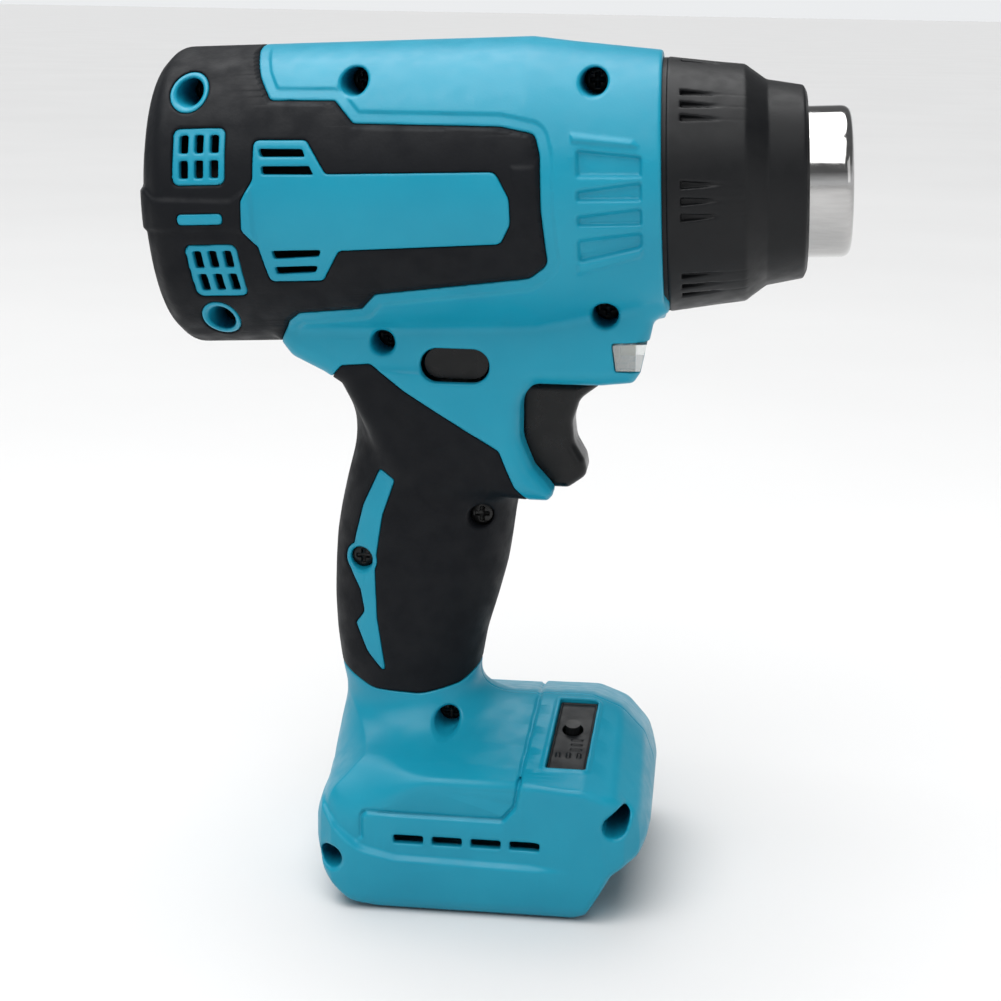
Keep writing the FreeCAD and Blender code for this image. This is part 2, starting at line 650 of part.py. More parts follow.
turned_body("nose_ring", [
    (36.6, stem + " + 0.05"), (36.6, 28.3), (41.05, 28.3), (41.05, 29.4), (42.0, 29.4),
    (42.0, "dims.spigot_radius"), (48.4, "dims.spigot_radius"),
    (48.4, "dims.spigot_radius + 1"), (50.4, "dims.spigot_radius + 1"),
    (50.4, "dims.spigot_radius - 2.5"), (43.5, "dims.spigot_radius - 2.5"),
    (43.5, stem + " + 0.05"),
])
bore = "dims.spigot_radius + dims.collar_clearance"
front_collar = doc.addObject("PartDesign::Body", "front_collar_body")
revolve(front_collar, "collar_turning", [
    (42.4, bore), (42.4, 29.5), (53.5, 27.9), (59.5, 27.3), (61.5, 26.6), (64.4, 23.9),
    (65.9, 23.2), (72.4, 22.0), (73.3, 21.4), (73.7, 20.0),
    (73.7, "dims.nozzle_radius + dims.collar_clearance"),
    (71.6, "dims.nozzle_radius + dims.collar_clearance"), (71.6, 20.0), (65.2, 21.3),
    (60.4, bore), (50.8, bore), (50.8, bore + " + 1"), (48.0, bore + " + 1"), (48.0, bore),
])
on_barrel(front_collar)
finished(front_collar, "front_collar")

turned_body("heater_tube", [
    (-14, "dims.heater_tube_radius - 0.5"), (-14, "dims.heater_tube_radius"),
    (64, "dims.heater_tube_radius"), (64, "dims.heater_tube_radius - 0.5"),
])
turned_body("mica_liner", [
    (-10, "dims.mica_radius - 0.7"), (-10, "dims.mica_radius"), (60, "dims.mica_radius"),
    (60, "dims.mica_radius - 0.7"),
])
former = doc.addObject("PartDesign::Body", "heater_former_body")
half_plate = "dims.former_thickness / 2"
pad(former, "upright_plate", "XY_Plane", [
    (-5, "-" + half_plate), (56, "-" + half_plate), (56, half_plate), (-5, half_plate),
], "2 * dims.former_radius")
pad(former, "level_plate", "XZ_Plane", [
    (-5, "-" + half_plate), (56, "-" + half_plate), (56, half_plate), (-5, half_plate),
], "2 * dims.former_radius")
on_barrel(former)
finished(former, "heater_former")

helix = doc.addObject("Part::Helix", "coil_path")
helix.setExpression("Radius", "dims.coil_radius")
helix.Pitch = 5.0
helix.Height = 50.0
wire_section = doc.addObject("Part::Circle", "coil_section")
wire_section.setExpression("Radius", "dims.coil_wire")
wire_section.Placement = Placement(Vector(size("coil_radius"), 0, 0), Rotation(Vector(1, 0, 0), 90))
coil_wire = doc.addObject("Part::Sweep", "coil_wire")
coil_wire.Sections = [wire_section]
coil_wire.Spine = (helix, ["Edge1"])
coil_wire.Solid = True
coil_wire.Frenet = True
coil_wire.Placement = Placement(Vector(1, 0, 0), Rotation(Vector(0, 1, 0), 90))
finished(on_barrel(group("coil_set", [coil_wire])), "heating_coil")

cutoff = rod("cutoff_case", 1.8, 6, 17, "X", (4.6, 4.6))
finished(on_barrel(group("cutoff_set", [cutoff])), "thermal_cutoff")

# ---------------------------------------------------------------- air duct, motor and fan
duct_outer = "dims.duct_radius + dims.duct_wall"
duct_neck = "dims.heater_tube_radius + 0.05"
turned_body("air_duct", [
    (-50, "dims.duct_radius"), (-50, duct_outer), (-24, duct_outer),
    (-13, duct_neck + " + 2"), (-2, duct_neck + " + 2"), (-2, duct_neck), (-14, duct_neck),
    (-24.6, "dims.duct_radius"),
])
fan_housing = doc.addObject("PartDesign::Body", "fan_housing_body")
revolve(fan_housing, "shroud", [
    (-72, "dims.duct_radius"), (-72, duct_outer), (-50, duct_outer), (-50, "dims.duct_radius"),
])
spoke = pad(fan_housing, "spoke", "XY_Plane", [
    (-54.5, "dims.motor_radius + 0.6"), (-52.5, "dims.motor_radius + 0.6"),
    (-52.5, "dims.duct_radius + 0.5"), (-54.5, "dims.duct_radius + 0.5"),
], 2.4)
doc.recompute()
repeat_about_x(fan_housing, spoke, 5)
revolve(fan_housing, "motor_seat", [
    (-54.5, "dims.motor_radius + 0.05"), (-54.5, "dims.motor_radius + 1.2"),
    (-50.5, "dims.motor_radius + 1.2"), (-50.5, "dims.motor_radius + 0.05"),
])
on_barrel(fan_housing)
finished(fan_housing, "fan_housing")

can_inner = "dims.motor_radius - 1.0"
turned_body("motor_can", [
    (-54.8, can_inner), (-54.8, "dims.motor_radius"), (-26, "dims.motor_radius"),
    (-26, 6.4), (-24.6, 6.4), (-24.6, "dims.bush_radius"), (-27.4, "dims.bush_radius"),
    (-27.4, can_inner),
])
turned_body("motor_end_cap", [
    (-57.4, "dims.bush_radius"), (-57.4, 6.4), (-56.2, 6.4), (-56.2, "dims.motor_radius"),
    (-54.85, "dims.motor_radius"), (-54.85, "dims.motor_radius - 1.05"),
    (-53.4, "dims.motor_radius - 1.05"), (-53.4, "dims.bush_radius"),
])
bush_inner = "dims.shaft_radius + dims.bearing_clearance"
bushes = []
for number, start in enumerate((-57.4, -27.4)):
    bushes.append(turned("bush_%d" % number, [
        (start, bush_inner), (start, "dims.bush_radius"), (start + 2.8, "dims.bush_radius"),
        (start + 2.8, bush_inner),
    ]))
finished(on_barrel(group("bush_set", bushes)), "motor_bushes")
magnets = []
for number in range(2):
    arc = turned("magnet_%d" % number, [
        (-48, 10.4), (-48, can_inner), (-32, can_inner), (-32, 10.4),
    ])
    arc.Angle = 130
    arc.Placement = Placement(Vector(0, 0, 0), Rotation(Vector(1, 0, 0), 180 * number - 155))
    magnets.append(arc)
finished(on_barrel(group("magnet_set", magnets)), "motor_magnets")
brushes = []
for side in (-1, 1):
    low, high = sorted((3.7 * side, 9.0 * side))
    brushes.append(box("brush", (-51.6, low, -1.5), (-48.8, high, 1.5)))
finished(on_barrel(group("brush_set", brushes)), "motor_brushes")

turned_body("motor_shaft", [
    (-71, 0), (-71, "dims.shaft_radius"), (-23.5, "dims.shaft_radius"), (-23.5, 0),
])
turned_body("motor_rotor", [
    (-47.5, "dims.shaft_radius"), (-47.5, 7.4), (-45.5, 7.4), (-45.5, 9.8), (-34.5, 9.8),
    (-34.5, 7.4), (-32, 7.4), (-32, "dims.shaft_radius"),
])
turned_body("motor_commutator", [
    (-52, "dims.shaft_radius"), (-52, 3.4), (-48.4, 3.4), (-48.4, "dims.shaft_radius"),
])
BLADES = 7
BLADE_PITCH = math.radians(38)
BLADE_CHORD = 9.0
BLADE_THICKNESS = 1.2
BLADE_ROOT = 7.6
blade_corners = []
for along, across in ((-1, -1), (1, -1), (1, 1), (-1, 1)):
    chordwise = along * BLADE_CHORD / 2
    offset = across * BLADE_THICKNESS / 2
    blade_corners.append((
        -64.4 + chordwise * math.cos(BLADE_PITCH) - offset * math.sin(BLADE_PITCH),
        chordwise * math.sin(BLADE_PITCH) + offset * math.cos(BLADE_PITCH),
    ))
fan = doc.addObject("PartDesign::Body", "fan_body")
revolve(fan, "fan_hub", [
    (-70, "dims.shaft_radius"), (-70, 6.4), (-68, 8.4), (-59, 8.4), (-59, "dims.shaft_radius"),
])
blade = fan.newObject("PartDesign::Pad", "blade")
blade.Profile = body_sketch(fan, "blade_sketch", "XY_Plane", blade_corners)
blade.Profile[0].AttachmentOffset = Placement(Vector(0, 0, BLADE_ROOT), Rotation())
blade.setExpression("Length", "dims.fan_radius - %g" % BLADE_ROOT)
doc.recompute()
repeat_about_x(fan, blade, BLADES)
on_barrel(fan)
finished(fan, "fan_impeller")

# ---------------------------------------------------------------- trigger, switch, lock, lamp
TRIGGER_SIDE = [
    (7.5, 99.6), (9.5, 98.8), (20.1, 98.8), (22.9, 100), (24.6, 102.6), (24.4, 104.9), (23, 107.7),
    (21.7, 110.6), (21.3, 114), (21.9, 117.8), (23.6, 121), (27.0, 123.4), (27.0, 124.8),
    (7.5, 124.8),
]
trigger = doc.addObject("PartDesign::Body", "trigger_body")
pad(trigger, "trigger_blade", "XZ_Plane", TRIGGER_SIDE, "dims.trigger_width")
finished(trigger, "trigger")

SWITCH_FACE = 0.6
PLUNGER_HEIGHT = 112.0
switch_case = box("switch_case", (-24, -7.5, 101), (SWITCH_FACE, 7.5, 122))
switch_bore = rod("switch_bore", "dims.plunger_radius + 0.3", -14, 5, "X", (0, PLUNGER_HEIGHT))
finished(cut("switch_block", switch_case, switch_bore), "trigger_switch")
plunger = rod("plunger_rod", "dims.plunger_radius", -6, 7.5, "X", (0, PLUNGER_HEIGHT))
finished(plunger, "switch_plunger")
# Conical return spring, so that it closes flat under the full travel of the trigger.
SPRING_TURNS = 3
SPRING_LENGTH = 5.8
SPRING_RADIUS = 3.1
spring_path = doc.addObject("Part::Helix", "spring_path")
spring_path.Radius = SPRING_RADIUS
spring_path.Pitch = SPRING_LENGTH / SPRING_TURNS
spring_path.Height = SPRING_LENGTH
spring_path.Angle = 13
spring_path.SegmentLength = 1
spring_section = doc.addObject("Part::Circle", "spring_section")
spring_section.Radius = 0.4
spring_section.Placement = Placement(Vector(SPRING_RADIUS, 0, 0), Rotation(Vector(1, 0, 0), 90))
spring = doc.addObject("Part::Sweep", "spring_wire")
spring.Sections = [spring_section]
spring.Spine = (spring_path, ["Edge%d" % turn for turn in range(1, SPRING_TURNS + 1)])
spring.Solid = True
spring.Frenet = True
spring.Placement = Placement(Vector(1.1, 0, PLUNGER_HEIGHT), Rotation(Vector(0, 1, 0), 90))
finished(spring, "trigger_spring")

half_lower = "dims.lower_width / 2"
lock = oval_bar("lock_bar", "dims.lock_length", "dims.lock_height",
                "-%s + dims.lock_travel" % half_lower,
                "%s - 0.6 + dims.lock_travel" % half_lower, LOCK_PLACE)
finished(lock, "lock_button")

lens_outline = upright("lens_outline", [
    (30.6, 135.4), (38.5, 135.95), (37.2, 129.6), (31.6, 129.5),
])
lens_block = swept_across("lens_block", lens_outline, 35.0)
lens_back = box("lens_back", (25, -14, 120), (36, 14, 140))
finished(cut("lens_shell", lens_block, lens_back), "lamp_lens")
lamp_board = box("lamp_board_box", (30.8, -9, 130.2), (32.0, 9, 134.8))
finished(lamp_board, "lamp_board")
finished(rod("lamp_chip_rod", 1.9, 32.0, 35.4, "X", (0, 132.4)), "lamp_led")

# ---------------------------------------------------------------- display on the foot
pane = flat_box("pane", (0, 0), "dims.display_width - 0.2", "dims.display_length - 0.2", -1.2,
                "dims.display_thickness - 1.2")
pane_hole = doc.addObject("Part::Cylinder", "pane_hole")
pane_hole.setExpression("Radius", "dims.button_radius + dims.button_gap")
pane_hole.Height = 10
pane_hole.Placement = Placement(Vector(0, BUTTON_UP_SLOPE, -5), Rotation())
finished(on_slope(cut("pane_cut", pane, pane_hole), DISPLAY_X, DISPLAY_Y), "display_window")
button = doc.addObject("Part::Cylinder", "button_rod")
button.setExpression("Radius", "dims.button_radius")
button.Height = 3.2
button.Placement = Placement(Vector(0, BUTTON_UP_SLOPE, -2.2), Rotation())
finished(on_slope(group("button_set", [button]), DISPLAY_X, DISPLAY_Y), "mode_button")
inner_width = "dims.display_width - 2.8"
board = flat_box("board", (0, 0), inner_width, "dims.display_length - 2.8", -5.4, -4.2)
finished(on_slope(group("board_set", [board]), DISPLAY_X, DISPLAY_Y), "display_board")
tact = flat_box("tact", (0, BUTTON_UP_SLOPE), 4.5, 4.5, -4.2, -3.1)
finished(on_slope(group("tact_set", [tact]), DISPLAY_X, DISPLAY_Y), "button_switch")
lamps = [flat_box("lamp", (0, down), 1.6, 1.6, -4.2, -1.5) for down in (-1.5, -5.0, -8.5)]
finished(on_slope(group("lamp_set", lamps), DISPLAY_X, DISPLAY_Y), "indicator_lamps")

# ---------------------------------------------------------------- electronics in the foot
BOARD_TOP = "dims.foot_floor + 1.6"
finished(box("control_board_box", (-26, -24, "dims.foot_floor"), (27, 24, BOARD_TOP)),
         "control_board")
FINS = 5
FIN_PITCH = 4.4
comb = []
for number in range(FINS):
    left = -10.0 + number * FIN_PITCH
    comb += [(left, 11), (left + 1.8, 11)]
    if number < FINS - 1:
        comb += [(left + 1.8, 2.2), (left + FIN_PITCH, 2.2)]
comb_right = -10.0 + (FINS - 1) * FIN_PITCH + 1.8
comb += [(comb_right, 0), (-10.0, 0)]
sink = doc.addObject("PartDesign::Body", "heat_sink_body")
pad(sink, "sink_comb", "YZ_Plane", comb, 20)
sink.Placement = Placement(Vector(-14, 0, 17), Rotation())
sink.setExpression(".Placement.Base.z", BOARD_TOP)
finished(sink, "heat_sink")
transistors = []
for side in (-1, 1):
    low, high = sorted((13.0 * side, 17.5 * side))
    transistors.append(box("transistor", (-20, low, BOARD_TOP), (-9, high, BOARD_TOP + " + 9")))
finished(group("transistor_set", transistors), "power_transistors")
capacitor = doc.addObject("Part::Cylinder", "capacitor_can")
capacitor.Radius = 4.5
capacitor.Height = 12
capacitor.Placement = Placement(Vector(8, 10, 17), Rotation())
capacitor.setExpression(".Placement.Base.z", BOARD_TOP)
finished(capacitor, "filter_capacitor")
finished(box("terminal_box", ("-dims.slot_rear", -21, 6), (-7, 21, "dims.slot_depth")),
         "terminal_block")
terminals = []
for across in (-15, 0, 15):
    terminals.append(box("terminal", (-7, across - 0.5, 7), (4, across + 0.5, 12)))
finished(group("terminal_set", terminals), "battery_terminals")

# ---------------------------------------------------------------- check and write
doc.recompute()
failed = [thing.Name for thing in doc.Objects
          if any(word in ("Invalid", "Error") for word in thing.State)]
failed += [piece.Label for piece in pieces if piece.Shape.isNull() or not piece.Shape.isValid()]
if failed:
    raise RuntimeError("failed objects: %s" % ", ".join(failed))
os.makedirs("parts", exist_ok=True)
for piece in pieces:
    piece.Shape.exportStep("parts/%s.step" % piece.Label)
    bounds = piece.Shape.BoundBox
    print("%-20s %2d solid(s) %9.0f mm3  x %.1f..%.1f  y %.1f..%.1f  z %.1f..%.1f" % (
        piece.Label, len(piece.Shape.Solids), piece.Shape.Volume, bounds.XMin, bounds.XMax,
        bounds.YMin, bounds.YMax, bounds.ZMin, bounds.ZMax))
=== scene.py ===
"""Looks of the cordless heat gun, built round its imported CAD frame.

The moulded shells and rubber skins are signed distance fields, drawn in millimetres in the row
frame: x forward, y to the tool's left, z up.  The right half (y < 0) is drawn; the left half is
its mirror image without the screw wells and the display.  `solid` turns a field into a mesh.
"""
import math
import bmesh
import bpy
import numpy as np
from mathutils import Matrix, Vector
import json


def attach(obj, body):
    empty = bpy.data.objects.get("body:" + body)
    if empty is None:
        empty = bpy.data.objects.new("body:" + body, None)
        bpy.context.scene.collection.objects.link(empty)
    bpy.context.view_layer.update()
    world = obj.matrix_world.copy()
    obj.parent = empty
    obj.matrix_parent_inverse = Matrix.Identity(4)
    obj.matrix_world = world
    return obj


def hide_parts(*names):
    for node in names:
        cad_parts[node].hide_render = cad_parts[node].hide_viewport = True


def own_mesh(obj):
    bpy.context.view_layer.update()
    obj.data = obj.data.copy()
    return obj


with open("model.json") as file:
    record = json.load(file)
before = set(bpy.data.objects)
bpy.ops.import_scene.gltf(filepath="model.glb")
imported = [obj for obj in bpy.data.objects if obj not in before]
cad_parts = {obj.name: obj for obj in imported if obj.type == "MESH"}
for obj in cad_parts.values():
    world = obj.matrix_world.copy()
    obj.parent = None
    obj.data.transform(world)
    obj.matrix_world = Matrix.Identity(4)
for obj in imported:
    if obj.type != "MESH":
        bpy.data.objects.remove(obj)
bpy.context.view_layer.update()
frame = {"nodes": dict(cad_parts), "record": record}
nodes = frame["nodes"]

MM = 0.001
VOXEL = 0.42
BARREL_HEIGHT = 169.2
BARREL_TILT = math.radians(2.75)
COS_TILT = math.cos(BARREL_TILT)
SIN_TILT = math.sin(BARREL_TILT)
FAR = 99.0


# ---------------------------------------------------------------- distance field tools
class Grid:
    """Sample points of one block of space, with x, y and z ready to broadcast."""

    def __init__(self, low, high, step=VOXEL):
        self.low = np.array(low, float)
        self.step = step
        count = [int(math.ceil((b - a) / step)) + 1 for a, b in zip(low, high)]
        axes = [(a + step * np.arange(n)).astype(np.float32) for a, n in zip(low, count)]
        self.x = axes[0][:, None, None]
        self.y = axes[1][None, :, None]
        self.z = axes[2][None, None, :]
        self.v = -self.y                       # distance to the right of the middle plane
        self.side_x = self.x                   # the side view, which broadcasts along y
        self.side_z = self.z
        self.bx = self.x * COS_TILT + (self.z - BARREL_HEIGHT) * SIN_TILT
        self.bz = -self.x * SIN_TILT + (self.z - BARREL_HEIGHT) * COS_TILT


def smooth_union(a, b, k):
    blend = np.clip(0.5 + 0.5 * (b - a) / k, 0, 1)
    return b + (a - b) * blend - k * blend * (1 - blend)


def both(a, b, r=0.0):
    """Intersection, with its edge rounded to radius r."""
    if np.ndim(r) == 0 and r == 0:
        return np.maximum(a, b)
    return np.minimum(np.maximum(a, b), -r) + np.hypot(np.maximum(a + r, 0),
                                                       np.maximum(b + r, 0))


def without(a, b, r=0.0):
    """a with b taken away."""
    return both(a, -b, r)


def step_up(a, start, end):
    """0 before start, 1 after end, smooth between."""
    t = np.clip((a - start) / (end - start), 0, 1)
    return t * t * (3 - 2 * t)


def arc_points(corners, steps=5):
    """Closed outline through corners (x, z, fillet radius), its fillets drawn as short arcs."""
    points = []
    count = len(corners)
    for i, corner in enumerate(corners):
        here = np.array(corner[:2], float)
        radius = corner[2] if len(corner) > 2 else 0.0
        if radius <= 0:
            points.append(here)
            continue
        before = np.array(corners[i - 1][:2], float) - here
        after = np.array(corners[(i + 1) % count][:2], float) - here
        len_before, len_after = np.linalg.norm(before), np.linalg.norm(after)
        before, after = before / len_before, after / len_after
        half = math.acos(np.clip(before @ after, -1, 1)) / 2
        reach = min(radius / math.tan(half), 0.49 * len_before, 0.49 * len_after)
        start, end = here + before * reach, here + after * reach
        for k in range(steps + 1):
            t = k / steps
            points.append((1 - t) ** 2 * start + 2 * t * (1 - t) * here + t * t * end)
    return np.array(points)


def outline(corners, across, up):
    """Signed distance, in the view's plane, to a closed outline; negative inside."""
    points = arc_points(corners)
    across, up = np.broadcast_arrays(across, up)
    best = np.full(across.shape, 1e9, np.float32)
    inside = np.zeros(across.shape, bool)
    for a, b in zip(points, np.roll(points, -1, axis=0)):
        ex, ez = b - a
        length = ex * ex + ez * ez
        if length < 1e-12:
            continue
        px, pz = across - a[0], up - a[1]
        t = np.clip((px * ex + pz * ez) / length, 0, 1)
        best = np.minimum(best, (px - t * ex) ** 2 + (pz - t * ez) ** 2)
        crosses = (a[1] > up) != (b[1] > up)
        if abs(ez) > 1e-12:
            inside ^= crosses & (px < ex * pz / ez)
    distance = np.sqrt(best)
    return np.where(inside, -distance, distance).astype(np.float32)


def block(low, high, across, up, r=0.0):
    """Signed distance to a rectangle of the view's plane with rounded corners."""
    middle = [(a + b) / 2 for a, b in zip(low, high)]
    half = [(b - a) / 2 - r for a, b in zip(low, high)]
    dx, dz = np.abs(across - middle[0]) - half[0], np.abs(up - middle[1]) - half[1]
    outside = np.hypot(np.maximum(dx, 0), np.maximum(dz, 0))
    return outside + np.minimum(np.maximum(dx, dz), 0) - r


def disc(centre, radius, across, up):
    return np.hypot(across - centre[0], up - centre[1]) - radius


def surface_net(field, grid):
    """Vertices and quads of the surface where the field is zero."""
    inside = field < 0
    mixed = np.zeros(tuple(n - 1 for n in field.shape), np.uint8)
    corners = [(i, j, k) for i in (0, 1) for j in (0, 1) for k in (0, 1)]
    for i, j, k in corners:
        mixed += inside[i:field.shape[0] - 1 + i, j:field.shape[1] - 1 + j,
                        k:field.shape[2] - 1 + k]
    cells = np.argwhere((mixed > 0) & (mixed < 8))
    del mixed
    total = np.zeros((len(cells), 3))
    hits = np.zeros(len(cells))
    values = {c: field[cells[:, 0] + c[0], cells[:, 1] + c[1], cells[:, 2] + c[2]]
              for c in corners}
    for a in corners:
        for axis in range(3):
            if a[axis]:
                continue
            b = tuple(1 if n == axis else a[n] for n in range(3))
            crossed = (values[a] < 0) != (values[b] < 0)
            gap = values[a] - values[b]
            t = np.where(crossed, values[a] / np.where(crossed, gap, 1), 0)
            place = np.array(a, float)[None, :] + t[:, None] * np.eye(3)[axis][None, :]
            total += place * crossed[:, None]
            hits += crossed
    points = cells + total / hits[:, None]
    number = np.full(inside.shape, -1, np.int32)
    number[cells[:, 0], cells[:, 1], cells[:, 2]] = np.arange(len(cells))
    quads = []
    for axis in range(3):
        u, w = (axis + 1) % 3, (axis + 2) % 3
        near = [slice(1, n - 1) for n in field.shape]
        near[axis] = slice(0, field.shape[axis] - 1)
        far = list(near)
        far[axis] = slice(1, field.shape[axis])
        first, second = inside[tuple(near)], inside[tuple(far)]
        at = np.argwhere(first != second)
        offset = np.array([s.start for s in near])
        at = at + offset
        outward = inside[at[:, 0], at[:, 1], at[:, 2]]
        ring = []
        for du, dw in ((0, 0), (1, 0), (1, 1), (0, 1)):
            cell = at.copy()
            cell[:, u] -= du
            cell[:, w] -= dw
            ring.append(number[cell[:, 0], cell[:, 1], cell[:, 2]])
        ring = np.stack(ring, 1)
        ring[~outward] = ring[~outward][:, ::-1]
        quads.append(ring)
    return grid.low + points * grid.step, np.concatenate(quads)


def sample(field, grid, points):
    """Field at any points, between the grid's samples."""
    place = (points - grid.low) / grid.step
    top = np.array(field.shape) - 2
    cell = np.clip(np.floor(place).astype(int), 0, top)
    f = np.clip(place - cell, 0, 1)
    c = np.empty((2, 2, 2, len(points)), np.float32)
    for i in (0, 1):
        for j in (0, 1):
            for k in (0, 1):
                c[i, j, k] = field[cell[:, 0] + i, cell[:, 1] + j, cell[:, 2] + k]
    fx, fy, fz = f.T
    along_x = c[0] * (1 - fx) + c[1] * fx
    along_y = along_x[0] * (1 - fy) + along_x[1] * fy
    value = along_y[0] * (1 - fz) + along_y[1] * fz
    return value


def gradient(field, grid, points, reach=0.9):
    slope = []
    for axis in range(3):
        shift = np.zeros(3)
        shift[axis] = reach * grid.step
        slope.append(sample(field, grid, points + shift) - sample(field, grid, points - shift))
    slope = np.stack(slope, 1)
    return slope / np.maximum(np.linalg.norm(slope, axis=1, keepdims=True), 1e-9)


def solid(name, field, grid, keep=0.3, mirror=False, tilted=False):
    """Mesh of a field: surface net, thinned, drawn back to the surface, with exact normals."""
    points, quads = surface_net(field, grid)
    mesh = bpy.data.meshes.new(name)
    mesh.from_pydata([], [], [])
    mesh.vertices.add(len(points))
    mesh.vertices.foreach_set("co", points.astype(np.float32).ravel())
    mesh.loops.add(quads.size)
    mesh.loops.foreach_set("vertex_index", quads.astype(np.int32).ravel())
    mesh.polygons.add(len(quads))
    mesh.polygons.foreach_set("loop_start", np.arange(0, quads.size, 4, dtype=np.int32))
    mesh.update(calc_edges=True)
    piece = bpy.data.objects.new(name, mesh)
    bpy.context.scene.collection.objects.link(piece)
    if keep < 1:
        thin = piece.modifiers.new("thin", "DECIMATE")
        thin.ratio = keep
        bpy.context.view_layer.update()
        thinned = bpy.data.meshes.new_from_object(
            piece.evaluated_get(bpy.context.evaluated_depsgraph_get()))
        piece.modifiers.clear()
        piece.data = thinned
        bpy.data.meshes.remove(mesh)
        mesh = thinned
        mesh.name = name
    count = len(mesh.vertices)
    points = np.empty(count * 3, np.float32)
    mesh.vertices.foreach_get("co", points)
    points = points.reshape(-1, 3).astype(float)
    for _ in range(2):
        normal = gradient(field, grid, points, 0.5)
        error = np.clip(sample(field, grid, points), -0.4 * grid.step, 0.4 * grid.step)
        points -= normal * error[:, None]
    normal = gradient(field, grid, points)
    if mirror:
        points[:, 1] *= -1
        normal[:, 1] *= -1
        mesh.flip_normals()
    if tilted:
        points, normal = tilt(points), tilt(normal, lift=0.0)
    mesh.vertices.foreach_set("co", (points * MM).astype(np.float32).ravel())
    mesh.update()
    for polygon_smooth in (np.ones(len(mesh.polygons), bool),):
        mesh.polygons.foreach_set("use_smooth", polygon_smooth)
    mesh.normals_split_custom_set_from_vertices(normal.tolist())
    mesh.update()
    return piece


def tilt(points, lift=BARREL_HEIGHT):
    """From the barrel's frame to the row frame."""
    x = points[:, 0] * COS_TILT - points[:, 2] * SIN_TILT
    z = points[:, 0] * SIN_TILT + points[:, 2] * COS_TILT + lift
    return np.stack([x, points[:, 1], z], 1)


class Table:
    """Distances to an outline, worked out once on a fine plane and then read off anywhere."""

    def __init__(self, corners, low, high, step=0.15):
        self.low = low
        self.step = step
        across, up = (np.arange(a, b, step, dtype=np.float32) for a, b in zip(low, high))
        self.values = outline(corners, across[:, None], up[None, :])

    def at(self, across, up):
        rows, columns = self.values.shape
        u = np.clip((across - self.low[0]) / self.step, 0, rows - 1.01)
        w = np.clip((up - self.low[1]) / self.step, 0, columns - 1.01)
        u, w = np.broadcast_arrays(u, w)
        i, j = u.astype(np.int32), w.astype(np.int32)
        fu, fw = u - i, w - j
        flat = self.values.ravel()
        place = i * columns + j
        near = flat[place] * (1 - fw) + flat[place + 1] * fw
        place += columns
        far = flat[place] * (1 - fw) + flat[place + 1] * fw
        return (near * (1 - fu) + far * fu).astype(np.float32)


def eased(places, values, at, width):
    """A few stations joined by a smooth curve, and its value at each place."""
    step = 0.25
    fine = np.arange(places[0] - width, places[-1] + width, step)
    window = np.hanning(int(width / step) | 1)
    line = np.pad(np.interp(fine, places, values), len(window) // 2, mode="edge")
    return np.interp(at, fine, np.convolve(line, window / window.sum(), "valid"))


# ---------------------------------------------------------------- sizes, in millimetres
# Barrel profile in the barrel's frame (x, radius, fillet).
BARREL_PROFILE = [
    (-79.1, 14, 10), (-77.9, 24.5, 8), (-75.6, 31.6, 5), (-72.0, 35.1, 5),
    (11, 35.1, 8), (20.5, 33.7, 6), (41.0, 31.1, 0.8),
]
# Side outlines (x, z, fillet), in the row frame.
TRIGGER_HOUSING = [
    (-54, 152), (-50.6, 136.5, 8), (-45.6, 130.0, 5), (-38, 126.4, 5), (-33.4, 123.6, 3),
    (-27, 112), (-20, 101), (-4, 97.8), (11.2, 97.0, 3), (16.2, 97.0, 1.5), (17.7, 98.9, 1.4),
    (16.0, 101.0, 1.5), (12.4, 104.9, 3), (9.3, 112, 6), (9.2, 121.2, 6), (12.0, 125.2, 3),
    (28, 125.3, 4), (35.6, 126.2, 1.8), (37.6, 129.4, 3), (39.3, 137.6, 3), (39.9, 140.9, 1),
    (43.3, 143.4, 0.5), (43.3, 155),
]
HANDLE_HEIGHTS = [30, 43, 52, 60, 69, 78, 85, 92, 100, 107, 112, 117, 124]
HANDLE_REAR = [-33.6, -33.9, -35.9, -37.0, -37.5, -37.3, -36.9, -35.8, -34.1, -32.3, -32.0,
               -32.8, -37.0]
HANDLE_FRONT = [-2.4, -1.8, -0.6, 0.7, 3.3, 5.6, 6.6, 7.4, 9.0, 9.2, 9.2, 9.2, 9.2]
HANDLE_HALF_WIDTH = [15.2, 15.4, 15.7, 16.2, 16.6, 16.9, 17.1, 17.2, 17.2, 17.2, 17.2, 17.2, 17.2]
FOOT_SIDE = [
    (-21, 0, 3), (26.5, 0, 1), (29.2, 1.2, 1.5), (35.2, 11.6, 3), (41.8, 15.6, 3), (44.4, 20.5, 4),
    (44.4, 27.5, 6), (41.3, 35.4, 5), (35.4, 41.4, 6), (28.5, 44.4, 5), (-33.2, 44.4),
    (-34.4, 33, 8), (-37.8, 20.5, 6), (-37.8, 14.5, 6), (-34.6, 6.6, 8), (-27, 1.0, 8),
]
